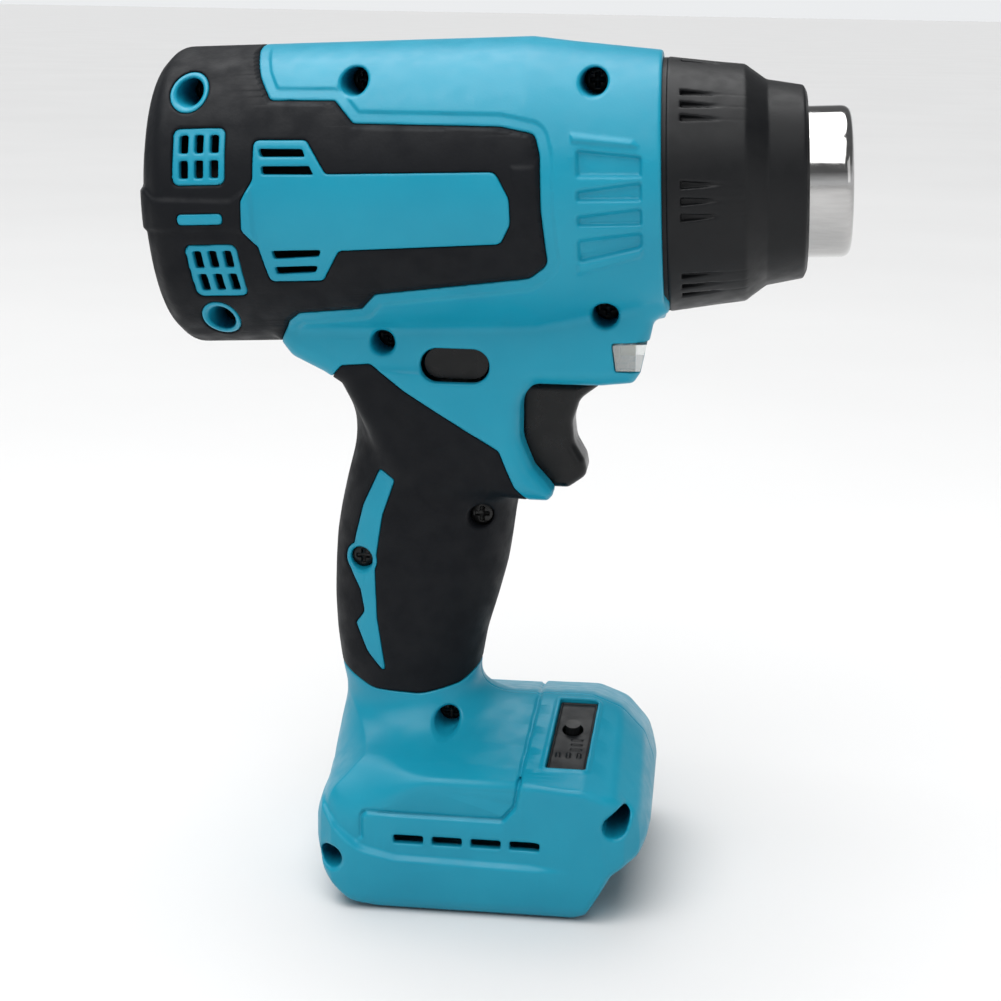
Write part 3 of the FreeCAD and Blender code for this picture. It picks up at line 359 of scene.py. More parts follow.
# The foot's top seen from the side, at the ridge; it drops towards the sides with the roof.
FOOT_TOP = [
    (-70, 43.8), (27.5, 43.8, 6), (35.2, 41.0, 6), (41.2, 34.8, 6), (44.6, 26.0, 6), (44.6, -40),
    (-70, -40),
]
FOOT_PLAN = [(-37.8, -60), (-37.8, 40, 15.5), (44.4, 40, 18), (44.4, -60)]
FOOT_HALF_WIDTH = 40.0
FOOT_RIDGE = 43.8
ROOF_SLOPE = math.atan2(FOOT_RIDGE - 32.6, FOOT_HALF_WIDTH - 1.4)
HANDLE_RUBBER = [
    (-60, 122.2), (-37.7, 123.2, 1), (-33.3, 128.5, 1), (-26.4, 129.1, 1.5), (-18.4, 123, 4),
    (-1.9, 112.9), (4.4, 109.2, 2), (6.2, 104.9, 2), (8.3, 100.4, 3), (10.8, 97.8, 2), (13, 95.2),
    (30, 95.0), (30, 53.2), (0.8, 53.0, 1), (-4.5, 49.2, 5), (-14, 47.0, 12), (-26, 47.6, 8),
    (-34, 51.2, 4), (-60, 52),
]
HANDLE_STRIP = [
    (-24.3, 103.4, 0.8), (-20.5, 101.0, 0.8), (-23.6, 92, 12), (-25.5, 79, 14), (-24.9, 66, 12),
    (-22.6, 51.4, 0.8), (-27.4, 57.0, 6), (-30.4, 64.0, 0.8), (-28.1, 67.2, 2.2),
    (-29.2, 72.6, 2), (-32.0, 77.5, 2), (-30.6, 86.0, 3), (-28.6, 94, 8),
]
# Side outlines in the barrel's frame.
CAP_BAND = [
    (-95, 45), (-52.4, 45), (-52.3, 33.4, 1), (-49.8, 27.8, 2), (-46.7, 22.9, 1.2),
    (-31.9, 22.5, 1.2), (-27.3, 17.5, 1.2), (5.5, 16.1, 5), (13.4, 14.3, 2.4), (14.5, 9.5, 3),
    (14.5, -2, 3), (15.5, -14.6, 2.6), (11.2, -17.7, 3), (-24.6, -21.0, 1.2),
    (-28.3, -24.7, 1.2), (-43.3, -25.6, 1), (-46.4, -27.8, 1.5), (-51.9, -37.4), (-51.9, -46),
    (-95, -46),
]
SIDE_PLATE = [
    (-49.7, 14.6, 1.6), (-37.7, 14.3, 1.4), (-33.3, 6.9, 1.2), (4.6, 6.5, 2.2), (7.6, 0.6, 3),
    (7.7, -5, 3), (5.3, -9.5, 2), (-31.3, -10.3, 1.4), (-35.7, -17.3, 1.6), (-47.9, -17.3, 1.6),
    (-49.6, -9.0, 1.4), (-52.9, -5.3, 2), (-52.6, 1.5, 2), (-49.9, 6, 1.6),
]
PLATE_SLOTS = [
    [(-48.5, 12.7), (-38.6, 12.4), (-37.9, 10.7), (-48.0, 10.9)],
    [(-47.9, 8.9), (-37.0, 8.7), (-36.0, 6.8), (-47.7, 7.1)],
    [(-46.7, -10.0), (-35.3, -10.0), (-36.0, -11.5), (-46.2, -11.9)],
    [(-46.5, -13.8), (-36.4, -13.7), (-37.2, -15.2), (-46.1, -15.5)],
]
VENTS = [(-62.2, 11.2, 0.0), (-60.2, -14.5, 0.08)]      # centre x, centre z, lean
VENT_SIZE = (12.0, 12.4)
VENT_FRAME = 1.5
CAP_BELT = [
    (-95, 3.2), (-75.4, 4.4, 2), (-72.9, 2.4, 2), (-55.2, 1.6, 2), (-50.3, 4.7), (-49.9, -8.6),
    (-53.5, -5.4, 2), (-75.3, -4.9, 2), (-95, -9.5),
]
CAP_BAR = [(-67.4, -1.2, 1), (-57.0, -1.2, 1), (-57.0, -3.7, 1), (-67.4, -3.7, 1)]
RIB_PANEL = [(22.4, 10.8, 0.8), (36.9, 8.9, 1.0), (36.8, -11.2, 1.0), (22.3, -14.2, 0.8)]
RIB_BARS = [
    [(21.2, 14.3), (34.8, 12.3), (36.2, 10.8), (21.5, 12.4)],
    [(22.3, -14.6), (36.8, -11.6), (36.4, -13.6), (22.0, -17.2)],
]
RIBS = [
    [(22.0, 5.0), (36.6, 4.5), (36.6, 3.2), (22.0, 1.7)],
    [(22.0, -0.3), (36.6, -0.7), (36.6, -2.5), (22.0, -3.8)],
    [(22.0, -5.8), (36.6, -6.1), (36.6, -7.9), (22.0, -9.2)],
]
BARREL_SCREWS = [(-65.6, 25.1, 6), (-62.0, -26.6, 6), (-27.9, 26.5, 6), (26.0, 24.9, 4),
                 (27.4, -28.0, 4)]
BODY_SCREWS = [(-23.4, 134.3, 4), (-29.0, 80.4, 9), (0.0, 92.3, 9), (-7.3, 40.2, 6),
               (35.6, 24.2, 16), (-32.4, 12.2, 10)]
WELL_RADIUS = 3.5
POST_RADIUS = 4.6
PILOT_RADIUS = 1.6
RING_RADIUS = 4.4
LOCK_CENTRE = (-6.3, 129.3)
DISPLAY = (23.6, -18.0)
DISPLAY_PANE = [(-5.3, -13.4, 0.6), (4.3, -13.4, 0.6), (5.6, 15.6, 0.6), (-3.8, 15.6, 0.6)]
PANE_BARS = [(1.4, 0.2), (1.4, -1.7), (1.4, -3.6)]        # across, up the slope
PANE_MARKS = [(-2.8, -6.0), (-0.3, -6.0), (2.3, -6.0)]
WALL = 2.6
RUBBER = 1.6
SEAM_OVERLAP = 0.06     # each half passes the middle plane by this, so that no light shows through
SPRING_START = 1.1
SPRING_LENGTH = 5.8
SPRING_HEIGHT = 112.0
SPRING_RADII = (3.1, 3.1 + SPRING_LENGTH * math.tan(math.radians(13)))
FOOT_FLOOR = 15.5
# The split between the battery base and the handle's moulding, down the right of the foot.
BASE_SPLIT = [
    (-60, 60), (14.3, 60), (12.6, 32.6), (11.8, 27.8, 1), (9.0, 24.4, 1), (-24.0, 24.5, 1),
    (-24.9, 23.4, 1), (-24.9, 17.6), (-27.4, 16.6, 3), (-32.4, 20.6, 3), (-36, 26), (-60, 30),
]
BUTTON_UP_SLOPE = 4.5
LOWER_LEDGE = [
    (-60, 29), (-35.4, 24.6), (-31.8, 19.9, 6), (-25.6, 15.1, 8), (-16.5, 13.1, 6), (26.5, 12.2),
    (60, 12.2), (60, -20), (-60, -20),
]


# ---------------------------------------------------------------- outer form
def handle_form(g):
    """Handle: superellipse sections between its rear and front lines."""
    rear = eased(HANDLE_HEIGHTS, HANDLE_REAR, g.z, 9).astype(np.float32)
    front = eased(HANDLE_HEIGHTS, HANDLE_FRONT, g.z, 9).astype(np.float32)
    half_width = eased(HANDLE_HEIGHTS, HANDLE_HALF_WIDTH, g.z, 9).astype(np.float32)
    power = 2.35
    half = (front - rear) / 2
    u = np.maximum(np.abs(g.x - (rear + front) / 2) / half, 1e-4)
    w = np.maximum(np.abs(g.y) / half_width, 1e-4)
    size = (u ** power + w ** power) ** (1 / power)
    slope = np.hypot((u / size) ** (power - 1) / half, (w / size) ** (power - 1) / half_width)
    side = (size - 1) / slope
    return both(side, np.maximum(g.z - 126, 28 - g.z))


def foot_form(g):
    """Foot: its side outline under a sloping roof, with rounded corners in plan."""
    side = outline(FOOT_SIDE, g.side_x, g.side_z)
    base = outline(BASE_SPLIT, g.side_x, g.side_z)
    ledge = outline(LOWER_LEDGE, g.side_x, g.side_z)
    shelf = step_up(20.0 - g.side_x, -7, 6) * step_up(ledge, -0.1, 1.3)
    face = FOOT_HALF_WIDTH - 1.9 * shelf - 0.6 * step_up(-base, -0.4, 0.3)
    face = face - 1.0 * step_up(9.0 - g.side_z, 0, 8) - 1.6 * step_up(4 - g.side_z, 0, 5)
    split = np.abs(g.x + 0.05 * g.v - 14.4)
    groove = 0.8 * (1 - step_up(split, 0.2, 0.65)) * (g.z > 30)
    step = 0.3 * step_up(14.4 - 0.05 * g.v - g.x, 0, 0.6)
    drop = np.sqrt(g.v * g.v + 9.0) - 3.0
    top = Table(FOOT_TOP, (-75, -45), (60, 110))
    roof = top.at(g.x, g.z + drop * math.tan(ROOF_SLOPE)) * math.cos(ROOF_SLOPE)
    local_x, local_y = slope_place(g)
    frame_edge = outline(DISPLAY_PANE, local_x, local_y) - 1.0
    raised = 0.45 * (1 - step_up(frame_edge, -0.3, 0.35)) * g.display
    roof = roof + groove + step - raised
    plan = outline(FOOT_PLAN, g.x, np.abs(g.y)) + 1.2 * shelf * step_up(-14 - g.side_x, 0, 10)
    crease = 1.5 + 13.0 * step_up(-8 - g.x, 0, 24)
    form = both(both(side, g.v - face, 1.6), roof, crease)
    groove_side = 0.85 * (1 - step_up(np.abs(base), 0.2, 0.6)) * (g.side_z < 34)
    form = form + groove_side * (g.side_z > 17.8) * (g.side_x > -25.4) * (g.v > 30)
    return both(form, plan, 2.0)


def slope_place(g):
    """Place in the display's own plane: across, and up the slope from its middle."""
    middle_z = FOOT_RIDGE + DISPLAY[1] * math.tan(ROOF_SLOPE)
    up = (-g.v - DISPLAY[1]) * math.cos(ROOF_SLOPE) + (g.z - middle_z) * math.sin(ROOF_SLOPE)
    return g.x - DISPLAY[0], up


def barrel_relief(g):
    """How far the barrel's side stands back from its turned form: a map of the side view."""
    band = outline(CAP_BAND, g.bx, g.bz)
    plate = outline(SIDE_PLATE, g.bx, g.bz)
    relief = 0.55 * (1 - step_up(band, 2.2, 3.1)) * (band > -0.6)
    belt = outline(CAP_BELT, g.bx, g.bz)
    relief = relief - 0.75 * (1 - step_up(belt, -0.8, 0.5)) * (g.bx < -49)
    panel = outline(RIB_PANEL, g.bx, g.bz)
    rib = np.minimum.reduce([outline(r, g.bx, g.bz) for r in RIBS])
    hollow = 1.15 * (1 - step_up(panel, -0.6, 0.1))
    hollow = hollow * step_up(rib, -0.3, 0.45)
    bars = np.minimum.reduce([outline(b, g.bx, g.bz) for b in RIB_BARS])
    relief = relief + hollow - 0.7 * (1 - step_up(bars, -0.5, 0.3))
    facet = outline([(8.2, 7.5), (13.6, 7.5), (13.6, 3.2), (8.8, 3.2)], g.bx, g.bz)
    return relief - 0.35 * (1 - step_up(facet, -0.5, 0.4)), band, plate


def outer_form(g):
    """The whole moulding's outer form, with the relief of its faces."""
    side = outline(TRIGGER_HOUSING, g.side_x, g.side_z)
    lower = both(side, g.v - 17.5, 4.0)
    lower = np.maximum(lower, g.v - 17.5)
    form = smooth_union(lower, handle_form(g), 3.5)
    form = smooth_union(form, foot_form(g), 11.0)
    start = int((122 - g.low[2]) / g.step)
    relief, band, plate = barrel_relief(g)
    top = np.s_[:, :, start:]
    around = np.hypot(g.y, g.bz)[top]
    profile = BARREL_PROFILE + [(BARREL_PROFILE[-1][0], -5), (BARREL_PROFILE[0][0], -5)]
    barrel = Table(profile, (-95, 0), (60, 60)).at(g.bx[top], around)
    sideways = step_up(np.abs(g.y) / np.maximum(around, 1), 0.1, 0.35)
    barrel = barrel + relief[top] * sideways
    form[top] = smooth_union(form[top], barrel, 1.6)
    return form, band, plate


# ---------------------------------------------------------------- shells and skins
def circles(g, places, radius, tilted):
    across, up = (g.bx, g.bz) if tilted else (g.side_x, g.side_z)
    return np.minimum.reduce([disc(p[:2], radius, across, up) for p in places])


def vent_outlines(g):
    """The vent frames of the rear cap and their slots, in the side view."""
    frames, slots = [], []
    bar = (VENT_SIZE[1] - 2 * VENT_FRAME) / 2
    for middle, height, lean in VENTS:
        across = g.bx + lean * (g.bz - height) - middle
        up = g.bz - height
        half = (VENT_SIZE[0] / 2, VENT_SIZE[1] / 2)
        frames.append(block((-half[0], -half[1]), half, across, up, 1.6))
        for column in (-1, 0, 1):
            for row in (-1, 1):
                low, high = sorted((row * 0.75, row * bar))
                slots.append(block((column * 3.5 - 1.0, low), (column * 3.5 + 1.0, high),
                                   across, up, 0.3))
    return np.minimum.reduce(frames), np.minimum.reduce(slots)


def cylinders_from(g, seats, radius, outer, tilted, bevel=0.6):
    """Screw wells: from each screw's seat outward, bevelled where they leave the surface."""
    across, up = (g.bx, g.bz) if tilted else (g.side_x, g.side_z)
    wells = None
    mouth = np.clip(bevel + outer, 0, bevel)
    for x, z, seat in seats:
        z = z + 0.8 * (30 < z < 50)          # the neck's well, where the surface flares out
        hole = disc((x, z), radius, across, up)
        if not tilted and z < 30 and x > 0:     # the foot's front well runs up to a point
            hole = np.minimum(hole, outline([(x - 2.4, z + 1.9), (x + 1.6, z + 5.2, 1.6),
                                             (x + 3.5, z + 2.8, 2), (x + 3.1, z), (x, z)],
                                            across, up))
        well = np.maximum(hole - mouth, seat - g.v)
        wells = well if wells is None else np.minimum(wells, well)
    return wells


def box_3d(g, low, high, r=0.0):
    middle = [(a + b) / 2 for a, b in zip(low, high)]
    half = [(b - a) / 2 - r for a, b in zip(low, high)]
    d = [np.abs(axis - m) - h for axis, m, h in zip((g.x, g.y, g.z), middle, half)]
    outside = np.sqrt(sum(np.maximum(part, 0) ** 2 for part in d))
    return outside + np.minimum(np.maximum(np.maximum(d[0], d[1]), d[2]), 0) - r


def mouldings(near):
    """Housing shell, cap rubber and grip rubber of one half; `near` is the right-hand half."""
    g = Grid((-86.5, -41.2, -1.6), (45.4, 1.6, 206.4))
    g.display = 1.0 if near else 0.0
    outer, band, plate = outer_form(g)
    frames, vent_slots = vent_outlines(g)
    grip = outline(HANDLE_RUBBER, g.side_x, g.side_z)
    strip = outline(HANDLE_STRIP, g.side_x, g.side_z)
    strip = np.minimum(strip, disc(BODY_SCREWS[1][:2], 4.1, g.side_x, g.side_z))
    ring = circles(g, BARREL_SCREWS[:2], RING_RADIUS, True) if near else 9.0
    hard = np.minimum(np.minimum.reduce([plate, frames, outline(CAP_BAR, g.bx, g.bz)]), ring)
    thumb_pad = np.hypot((g.side_x + 6.6) / 9.0, (g.side_z - 101.6) / 8.2) - 1
    outer = outer + 0.4 * (1 - step_up(frames, -0.3, 0.1)) * (g.side_z > 130)
    outer = outer + 0.28 * (1 - step_up(thumb_pad, -0.08, 0.06)) * (g.v > 5)

    seam = -SEAM_OVERLAP - g.v
    start = int((126 - g.low[2]) / g.step)
    cap_side = np.maximum(band, -hard)
    grip_side = np.maximum(grip, -strip)
    mouth = box_3d(g, (-1.5, -8.0, 98.3), (30, 8.0, 125.4), 0.4)
    sleeve = disc(BODY_SCREWS[2][:2], 4.0, g.side_x, g.side_z)
    sleeve = np.maximum(sleeve, -(outer + 6)) if near else 9.0
    deep = -(outer + RUBBER)
    rubber_side = np.where(g.side_z > 131.5, cap_side, np.minimum(grip_side, cap_side + 0 * g.v))
    volume = np.minimum(np.maximum(rubber_side, deep), sleeve)

    wells = np.minimum(cylinders_from(g, BARREL_SCREWS, 3.1, outer, True),
                       cylinders_from(g, BODY_SCREWS, 2.9, outer, False)) if near else None

    housing = without(outer, volume, 0.32)
    cavity = both(outer + WALL, FOOT_FLOOR - g.z)
    posts = np.minimum(circles(g, BARREL_SCREWS, POST_RADIUS, True),
                       circles(g, BODY_SCREWS, POST_RADIUS, False))
    cavity = np.maximum(cavity, -posts)
    housing = np.maximum(housing, -cavity)
    del cavity
    plate_slots = np.minimum.reduce([outline(s, g.bx, g.bz) for s in PLATE_SLOTS])
    slots = np.minimum(plate_slots, vent_slots)
    housing = without(housing, np.maximum(slots, -(outer + 7)), 0.2)
    vents = np.minimum.reduce([
        block((left, 17.1), (left + 7.2, 19.3), g.side_x, g.side_z, 0.5)
        for left in (-17.1 + 9.3 * k for k in range(4))])
    housing = without(housing, np.maximum(vents, 30 - g.v), 0.3)
    lock = block((LOCK_CENTRE[0] - 8.2, LOCK_CENTRE[1] - 4.05),
                 (LOCK_CENTRE[0] + 8.2, LOCK_CENTRE[1] + 4.05), g.side_x, g.side_z, 4.05)
    housing = without(housing, lock, 0.6)
    lamp = outline([(30.3, 135.8, 0.6), (46, 136.8), (46, 129.2), (31.3, 129.2, 0.6)],
                   g.side_x, g.side_z)
    housing = without(housing, np.maximum(lamp, g.v - 18), 0.2)
    slot = np.minimum(box_3d(g, (-28, -30, 5), (60, 30, 13)),
                      box_3d(g, (-28, -26.5, -9), (60, 26.5, 5.2)))
    housing = without(housing, slot, 0.3)
    housing = without(housing, mouth, 0.3)
    bore = np.hypot(g.y, g.bz) - 28.45
    housing = np.maximum(housing, -np.maximum(bore, 33 - g.bx))
    if near:
        across, up = slope_place(g)
        middle = g.z - (FOOT_RIDGE - g.v * math.tan(ROOF_SLOPE))
        pane = outline(DISPLAY_PANE, across, up)
        housing = without(housing, np.maximum(pane, -1.2 - middle), 0.2)
        housing = np.maximum(housing, -np.maximum(pane + 1.2, -8 - middle))
        pilots = np.minimum(circles(g, BARREL_SCREWS, PILOT_RADIUS, True),
                            circles(g, BODY_SCREWS, PILOT_RADIUS, False))
        housing = np.maximum(housing, -np.maximum(pilots, 0 * g.v))
        housing = np.maximum(housing, -wells)
    housing = both(housing, seam, 0.35)

    made = {"housing": (housing, g)}
    for name, side, zone in (("bumper", cap_side, np.s_[:, :, start:]),
                             ("grip_rubber", grip_side, np.s_[:, :, :int((136 - g.low[2]) / g.step)])):
        part = Block(g, zone)
        rubber = both(outer[zone], np.broadcast_to(side[zone], outer[zone].shape) + 0.04, 0.4)
        rubber = np.maximum(rubber, -(outer[zone] + RUBBER - 0.03))
        if near and name == "grip_rubber":
            rubber = np.minimum(rubber, np.maximum(sleeve[zone] + 0.04, outer[zone]))
        if name == "grip_rubber":
            rubber = without(rubber, mouth[zone], 0.3)
        if near and name == "grip_rubber":
            rubber = np.maximum(rubber, -wells[zone])
        made[name] = (both(rubber, np.broadcast_to(seam, outer.shape)[zone], 0.35), part)
    return made


class Block:
    """Part of a grid, for meshing a piece that fills only part of it."""

    def __init__(self, g, zone):
        self.low = g.low + g.step * np.array([s.start or 0 for s in zone])
        self.step = g.step


def trigger_field():
    g = Grid((5.5, -8.6, 96.8), (29, 8.6, 126.8), VOXEL * 0.75)
    side = outline([
        (7.5, 99.4, 1), (10, 98.6, 2), (20.4, 98.4, 2), (24.9, 101.6, 2.6), (24.2, 105.3, 3),
        (21.6, 109.6, 5), (21.0, 114.5, 6), (22.6, 120.2, 5), (27.1, 123.6, 1), (27.0, 124.9, 0.3),
        (7.5, 124.9, 0.3)], g.side_x, g.side_z)
    across = np.abs(g.y) - 7.6
    narrow = np.maximum(g.x - 19, 0) * 0.12
    return both(side, across + narrow, 2.6), g


def collar_field():
    """Front guard, in the barrel's frame: a turned cap with wedge grooves at its rear edge."""
    g = Grid((41.6, -30.4, -30.4), (74.6, 30.4, 30.4), VOXEL * 0.86)
    around = np.hypot(g.y, g.z)
    profile = [
        (41.9, 29.6, 0.6), (53.5, 28.1, 4), (59.7, 27.4, 1.6), (64.6, 23.8, 1.4), (73.1, 22.3, 0.7),
        (73.9, 20.6, 0.5), (73.9, 17.9), (71.6, 17.9), (71.6, 20.0), (65.2, 21.3), (60.4, 25.35),
        (50.8, 25.35), (50.8, 26.35), (48, 26.35), (48, 25.35), (41.9, 25.35)]
    body = Table(profile, (30, 0), (86, 50), 0.1).at(g.x, around)
    angle = np.arctan2(g.z, -g.y)
    group = np.mod(angle + math.radians(22.5 + 2), math.radians(45)) - math.radians(22.5)
    groove = None
    for offset in (-7.2, 0.0, 7.2):
        sideways = (group - math.radians(offset)) * around
        share = np.clip((55.2 - g.x) / 10.2, 0, 1)
        depth = 1.7 * share - 0.1
        cut = np.maximum(np.abs(sideways + 0.3) - (0.15 + 0.75 * share),
                         (29.5 - 0.126 * (g.x - 42.4)) - depth - around)
        cut = np.maximum(cut, 45.2 - g.x)
        groove = cut if groove is None else np.minimum(groove, cut)
    return without(body, groove, 0.25), g


def pane_field():
    """Display cover in its sunk frame, with raised bars and marks and room for the button."""
    g = Grid((16.5, -33.2, 32.0), (31.0, -1.4, 43.5), VOXEL * 0.5)
    across, up = slope_place(g)
    height = (g.z - (FOOT_RIDGE - g.v * math.tan(ROOF_SLOPE))) * math.cos(ROOF_SLOPE)
    pane = outline(DISPLAY_PANE, across, up) + 0.12
    marks = [block((x - 1.3, y - 0.28), (x + 1.3, y + 0.28), across, up, 0.1)
             for x, y in PANE_BARS]
    marks += [block((x - 0.4, y - 0.9), (x + 0.4, y + 0.9), across, up, 0.1)
              for x, y in PANE_MARKS]
    raised = 0.3 * (1 - step_up(np.minimum.reduce(marks), -0.1, 0.12))
    rim = 0.25 * step_up(pane, -0.55, -0.35)
    plate = both(pane, height + 0.75 - raised - rim, 0.12)
    plate = np.maximum(plate, -1.6 - height)
    button = np.hypot(across, up - BUTTON_UP_SLOPE) - 2.5
    return np.maximum(plate, -button), g


def from_loops(name, loops, closed):
    """Mesh from an array of loops of points; closed also joins the last loop to the first."""
    count, around = loops.shape[:2]
    mesh = bpy.data.meshes.new(name)
    faces = [(i * around + j, (i + 1) % count * around + j,
              (i + 1) % count * around + (j + 1) % around, i * around + (j + 1) % around)
             for i in range(count if closed else count - 1) for j in range(around)]
    if not closed:
        faces += [tuple(range(around))[::-1], tuple(range((count - 1) * around, count * around))]
    mesh.from_pydata((loops.reshape(-1, 3) * MM).tolist(), [], faces)
    mesh.polygons.foreach_set("use_smooth", np.ones(len(faces), bool))
    mesh.set_sharp_from_angle(angle=math.radians(32))
    mesh.update()
    piece = bpy.data.objects.new(name, mesh)
    bpy.context.scene.collection.objects.link(piece)
    return piece


def turned(name, corners, turns=144):
    """Turned piece in the barrel's frame: a closed outline of (x, radius, fillet) spun round."""
    line = arc_points(corners, 8)
    angles = 2 * math.pi * np.arange(turns) / turns
    points = np.stack([np.repeat(line[:, 0], turns),
                       -np.outer(line[:, 1], np.cos(angles)).ravel(),
                       np.outer(line[:, 1], np.sin(angles)).ravel()], 1)
    return from_loops(name, tilt(points).reshape(len(line), turns, 3), True)


def coiled(name, turns=3, wire=0.4, steps=108, sides=10):
    """Conical spring of round wire along x, as wide as in the frame."""
    share = np.linspace(0, 1, steps + 1)[:, None]
    angle = 2 * math.pi * turns * share
    section = 2 * math.pi * np.arange(sides) / sides
    radius = SPRING_RADII[0] + (SPRING_RADII[1] - SPRING_RADII[0]) * share + wire * np.cos(section)
    along = SPRING_START + SPRING_LENGTH * share + wire * np.sin(section)
    loops = np.stack([along, radius * np.sin(angle), SPRING_HEIGHT - radius * np.cos(angle)], 2)
    return from_loops(name, loops, False)


def screw_field(x, z, seat):
    """Screw: domed head with a cross recess, and its shank into the far shell."""
    g = Grid((x - 3.2, -seat - 2.6, z - 3.2), (x + 3.2, 6.4, z + 3.2), VOXEL * 0.55)
    across, up = g.x - x, g.z - z
    around = np.hypot(across, up)
    dome = g.v - seat - 2.0 + 0.05 * around ** 2
    head = both(both(around - 2.85, dome, 0.35), seat - g.v)
    arms = np.minimum(np.maximum(np.abs(across) - 0.5, np.abs(up) - 1.75),
                      np.maximum(np.abs(up) - 0.5, np.abs(across) - 1.75))
    arms = np.maximum(arms, seat + 0.7 + 0.35 * around - g.v)
    shank = np.maximum(around - 1.45, np.maximum(g.v - seat - 0.3, -6 - g.v))
    return np.minimum(without(head, arms, 0.1), shank), g


# ---------------------------------------------------------------- materials
class Shader:
    """A material and its node tree, with short ways to add to it."""

    def __init__(self, name, colour, roughness, metallic=0.0, **sockets):
        self.material = bpy.data.materials.new(name)
        self.material.use_nodes = True
        self.tree = self.material.node_tree
        self.surface = self.tree.nodes["Principled BSDF"]
        self.set(self.surface, "Base Color", (*colour, 1))
        self.set(self.surface, "Roughness", roughness)
        self.set(self.surface, "Metallic", metallic)
        for socket, value in sockets.items():
            self.set(self.surface, socket.replace("_", " "), value)
        self.place = self.tree.nodes.new("ShaderNodeTexCoord").outputs["Object"]

    def set(self, node, socket, value):
        node.inputs[socket].default_value = value

    def link(self, output, node, socket):
        self.tree.links.new(output, node.inputs[socket])

    def noise(self, scale, detail=4.0, stretch=None):
        node = self.tree.nodes.new("ShaderNodeTexNoise")
        self.set(node, "Scale", scale)
        self.set(node, "Detail", detail)
        place = self.place
        if stretch:
            spread = self.tree.nodes.new("ShaderNodeMapping")
            self.set(spread, "Scale", stretch)
            self.link(place, spread, "Vector")
            place = spread.outputs["Vector"]
        self.link(place, node, "Vector")
        return node.outputs["Fac"]

    def ramp(self, value, low, high, start=0.35, end=0.65):
        node = self.tree.nodes.new("ShaderNodeMapRange")
        self.set(node, "From Min", start)
        self.set(node, "From Max", end)
        self.set(node, "To Min", low)
        self.set(node, "To Max", high)
        self.link(value, node, "Value")
        return node.outputs["Result"]

    def mix(self, amount, low, high, socket="Base Color"):
        node = self.tree.nodes.new("ShaderNodeMix")
        node.data_type = "RGBA"
        self.link(amount, node, "Factor")
        for which, colour in (("A", low), ("B", high)):
            target = [i for i in node.inputs if i.name == which and i.type == "RGBA"][0]
            target.default_value = (*colour, 1)
        output = [o for o in node.outputs if o.type == "RGBA"][0]
        self.link(output, self.surface, socket)
        return output

    def bump(self, height, depth, strength=0.6):
        """Bump of a real depth in metres."""
        node = self.tree.nodes.new("ShaderNodeBump")
        self.set(node, "Strength", strength)
        self.set(node, "Distance", depth)
        self.link(height, node, "Height")
        before = self.surface.inputs["Normal"].links
        if before:
            self.link(before[0].from_socket, node, "Normal")
        self.link(node.outputs["Normal"], self.surface, "Normal")

    def edges(self, colour, low, high, wear_and_sheen=0.5):
        """Amount to lighten the raised edges by, from their pointiness: painted highlight where moulded
        edges catch light, partly also their rubbing with use.
        """
        point = self.tree.nodes.new("ShaderNodeNewGeometry").outputs["Pointiness"]
        return self.ramp(point, 0.0, wear_and_sheen, low, high)


def plastic(name, colour, light, roughness, grain=1800.0, depth=0.00004, gloss=0.45):
    """Moulded plastic with a fine spark-eroded grain and faint mottling."""
    s = Shader(name, colour, roughness, Specular_IOR_Level=gloss)
    mottle = s.noise(45.0, 5.0)
    s.mix(s.ramp(mottle, 0.0, 1.0, 0.3, 0.7), colour, light)
    s.link(s.ramp(s.noise(260.0, 3.0), roughness - 0.05, roughness + 0.07),
           s.surface, "Roughness")
    s.bump(s.noise(grain, 3.0), depth, 0.35)
    return s.material


def rubber(name, colour, light):
    """Moulded-on rubber: matt, slightly mottled, with a fine leathery grain."""
    s = Shader(name, colour, 0.55, Specular_IOR_Level=0.16)
    s.mix(s.ramp(s.noise(30.0, 6.0), 0.0, 1.0, 0.3, 0.7), colour, light)
    s.link(s.ramp(s.noise(180.0, 4.0), 0.5, 0.7), s.surface, "Roughness")
    cells = s.tree.nodes.new("ShaderNodeTexVoronoi")
    s.set(cells, "Scale", 1300.0)
    s.link(s.place, cells, "Vector")
    s.bump(cells.outputs["Distance"], 0.00005, 0.4)
    s.bump(s.noise(420.0, 4.0), 0.00006, 0.3)
    return s.material


def metal(name, colour, light, roughness, stretch=(1, 1, 1), scale=160.0):
    """Metal with drawing marks along one direction."""
    s = Shader(name, colour, roughness, 1.0)
    marks = s.noise(scale, 6.0, stretch)
    s.mix(s.ramp(marks, 0.0, 1.0, 0.3, 0.7), colour, light)
    s.link(s.ramp(marks, roughness * 0.7, roughness * 1.4), s.surface, "Roughness")
    s.bump(marks, 0.00002, 0.3)
    return s.material


def glass(name, colour, roughness):
    s = Shader(name, colour, roughness, Transmission_Weight=0.8, IOR=1.49, Coat_Weight=0.5)
    s.link(s.ramp(s.noise(90.0, 3.0), roughness, roughness + 0.05), s.surface, "Roughness")
    s.bump(s.noise(35.0, 2.0), 0.00004, 0.2)
    return s.material


def glowless(name, colour, light, roughness, coat=0.3):
    """Plain hard parts: boards, chips, seals."""
    s = Shader(name, colour, roughness, Coat_Weight=coat)
    s.mix(s.ramp(s.noise(120.0, 4.0), 0.0, 1.0), colour, light)
    s.link(s.ramp(s.noise(300.0, 2.0), roughness, roughness + 0.12), s.surface, "Roughness")
    s.bump(s.noise(900.0, 2.0), 0.00003, 0.25)
    return s.material


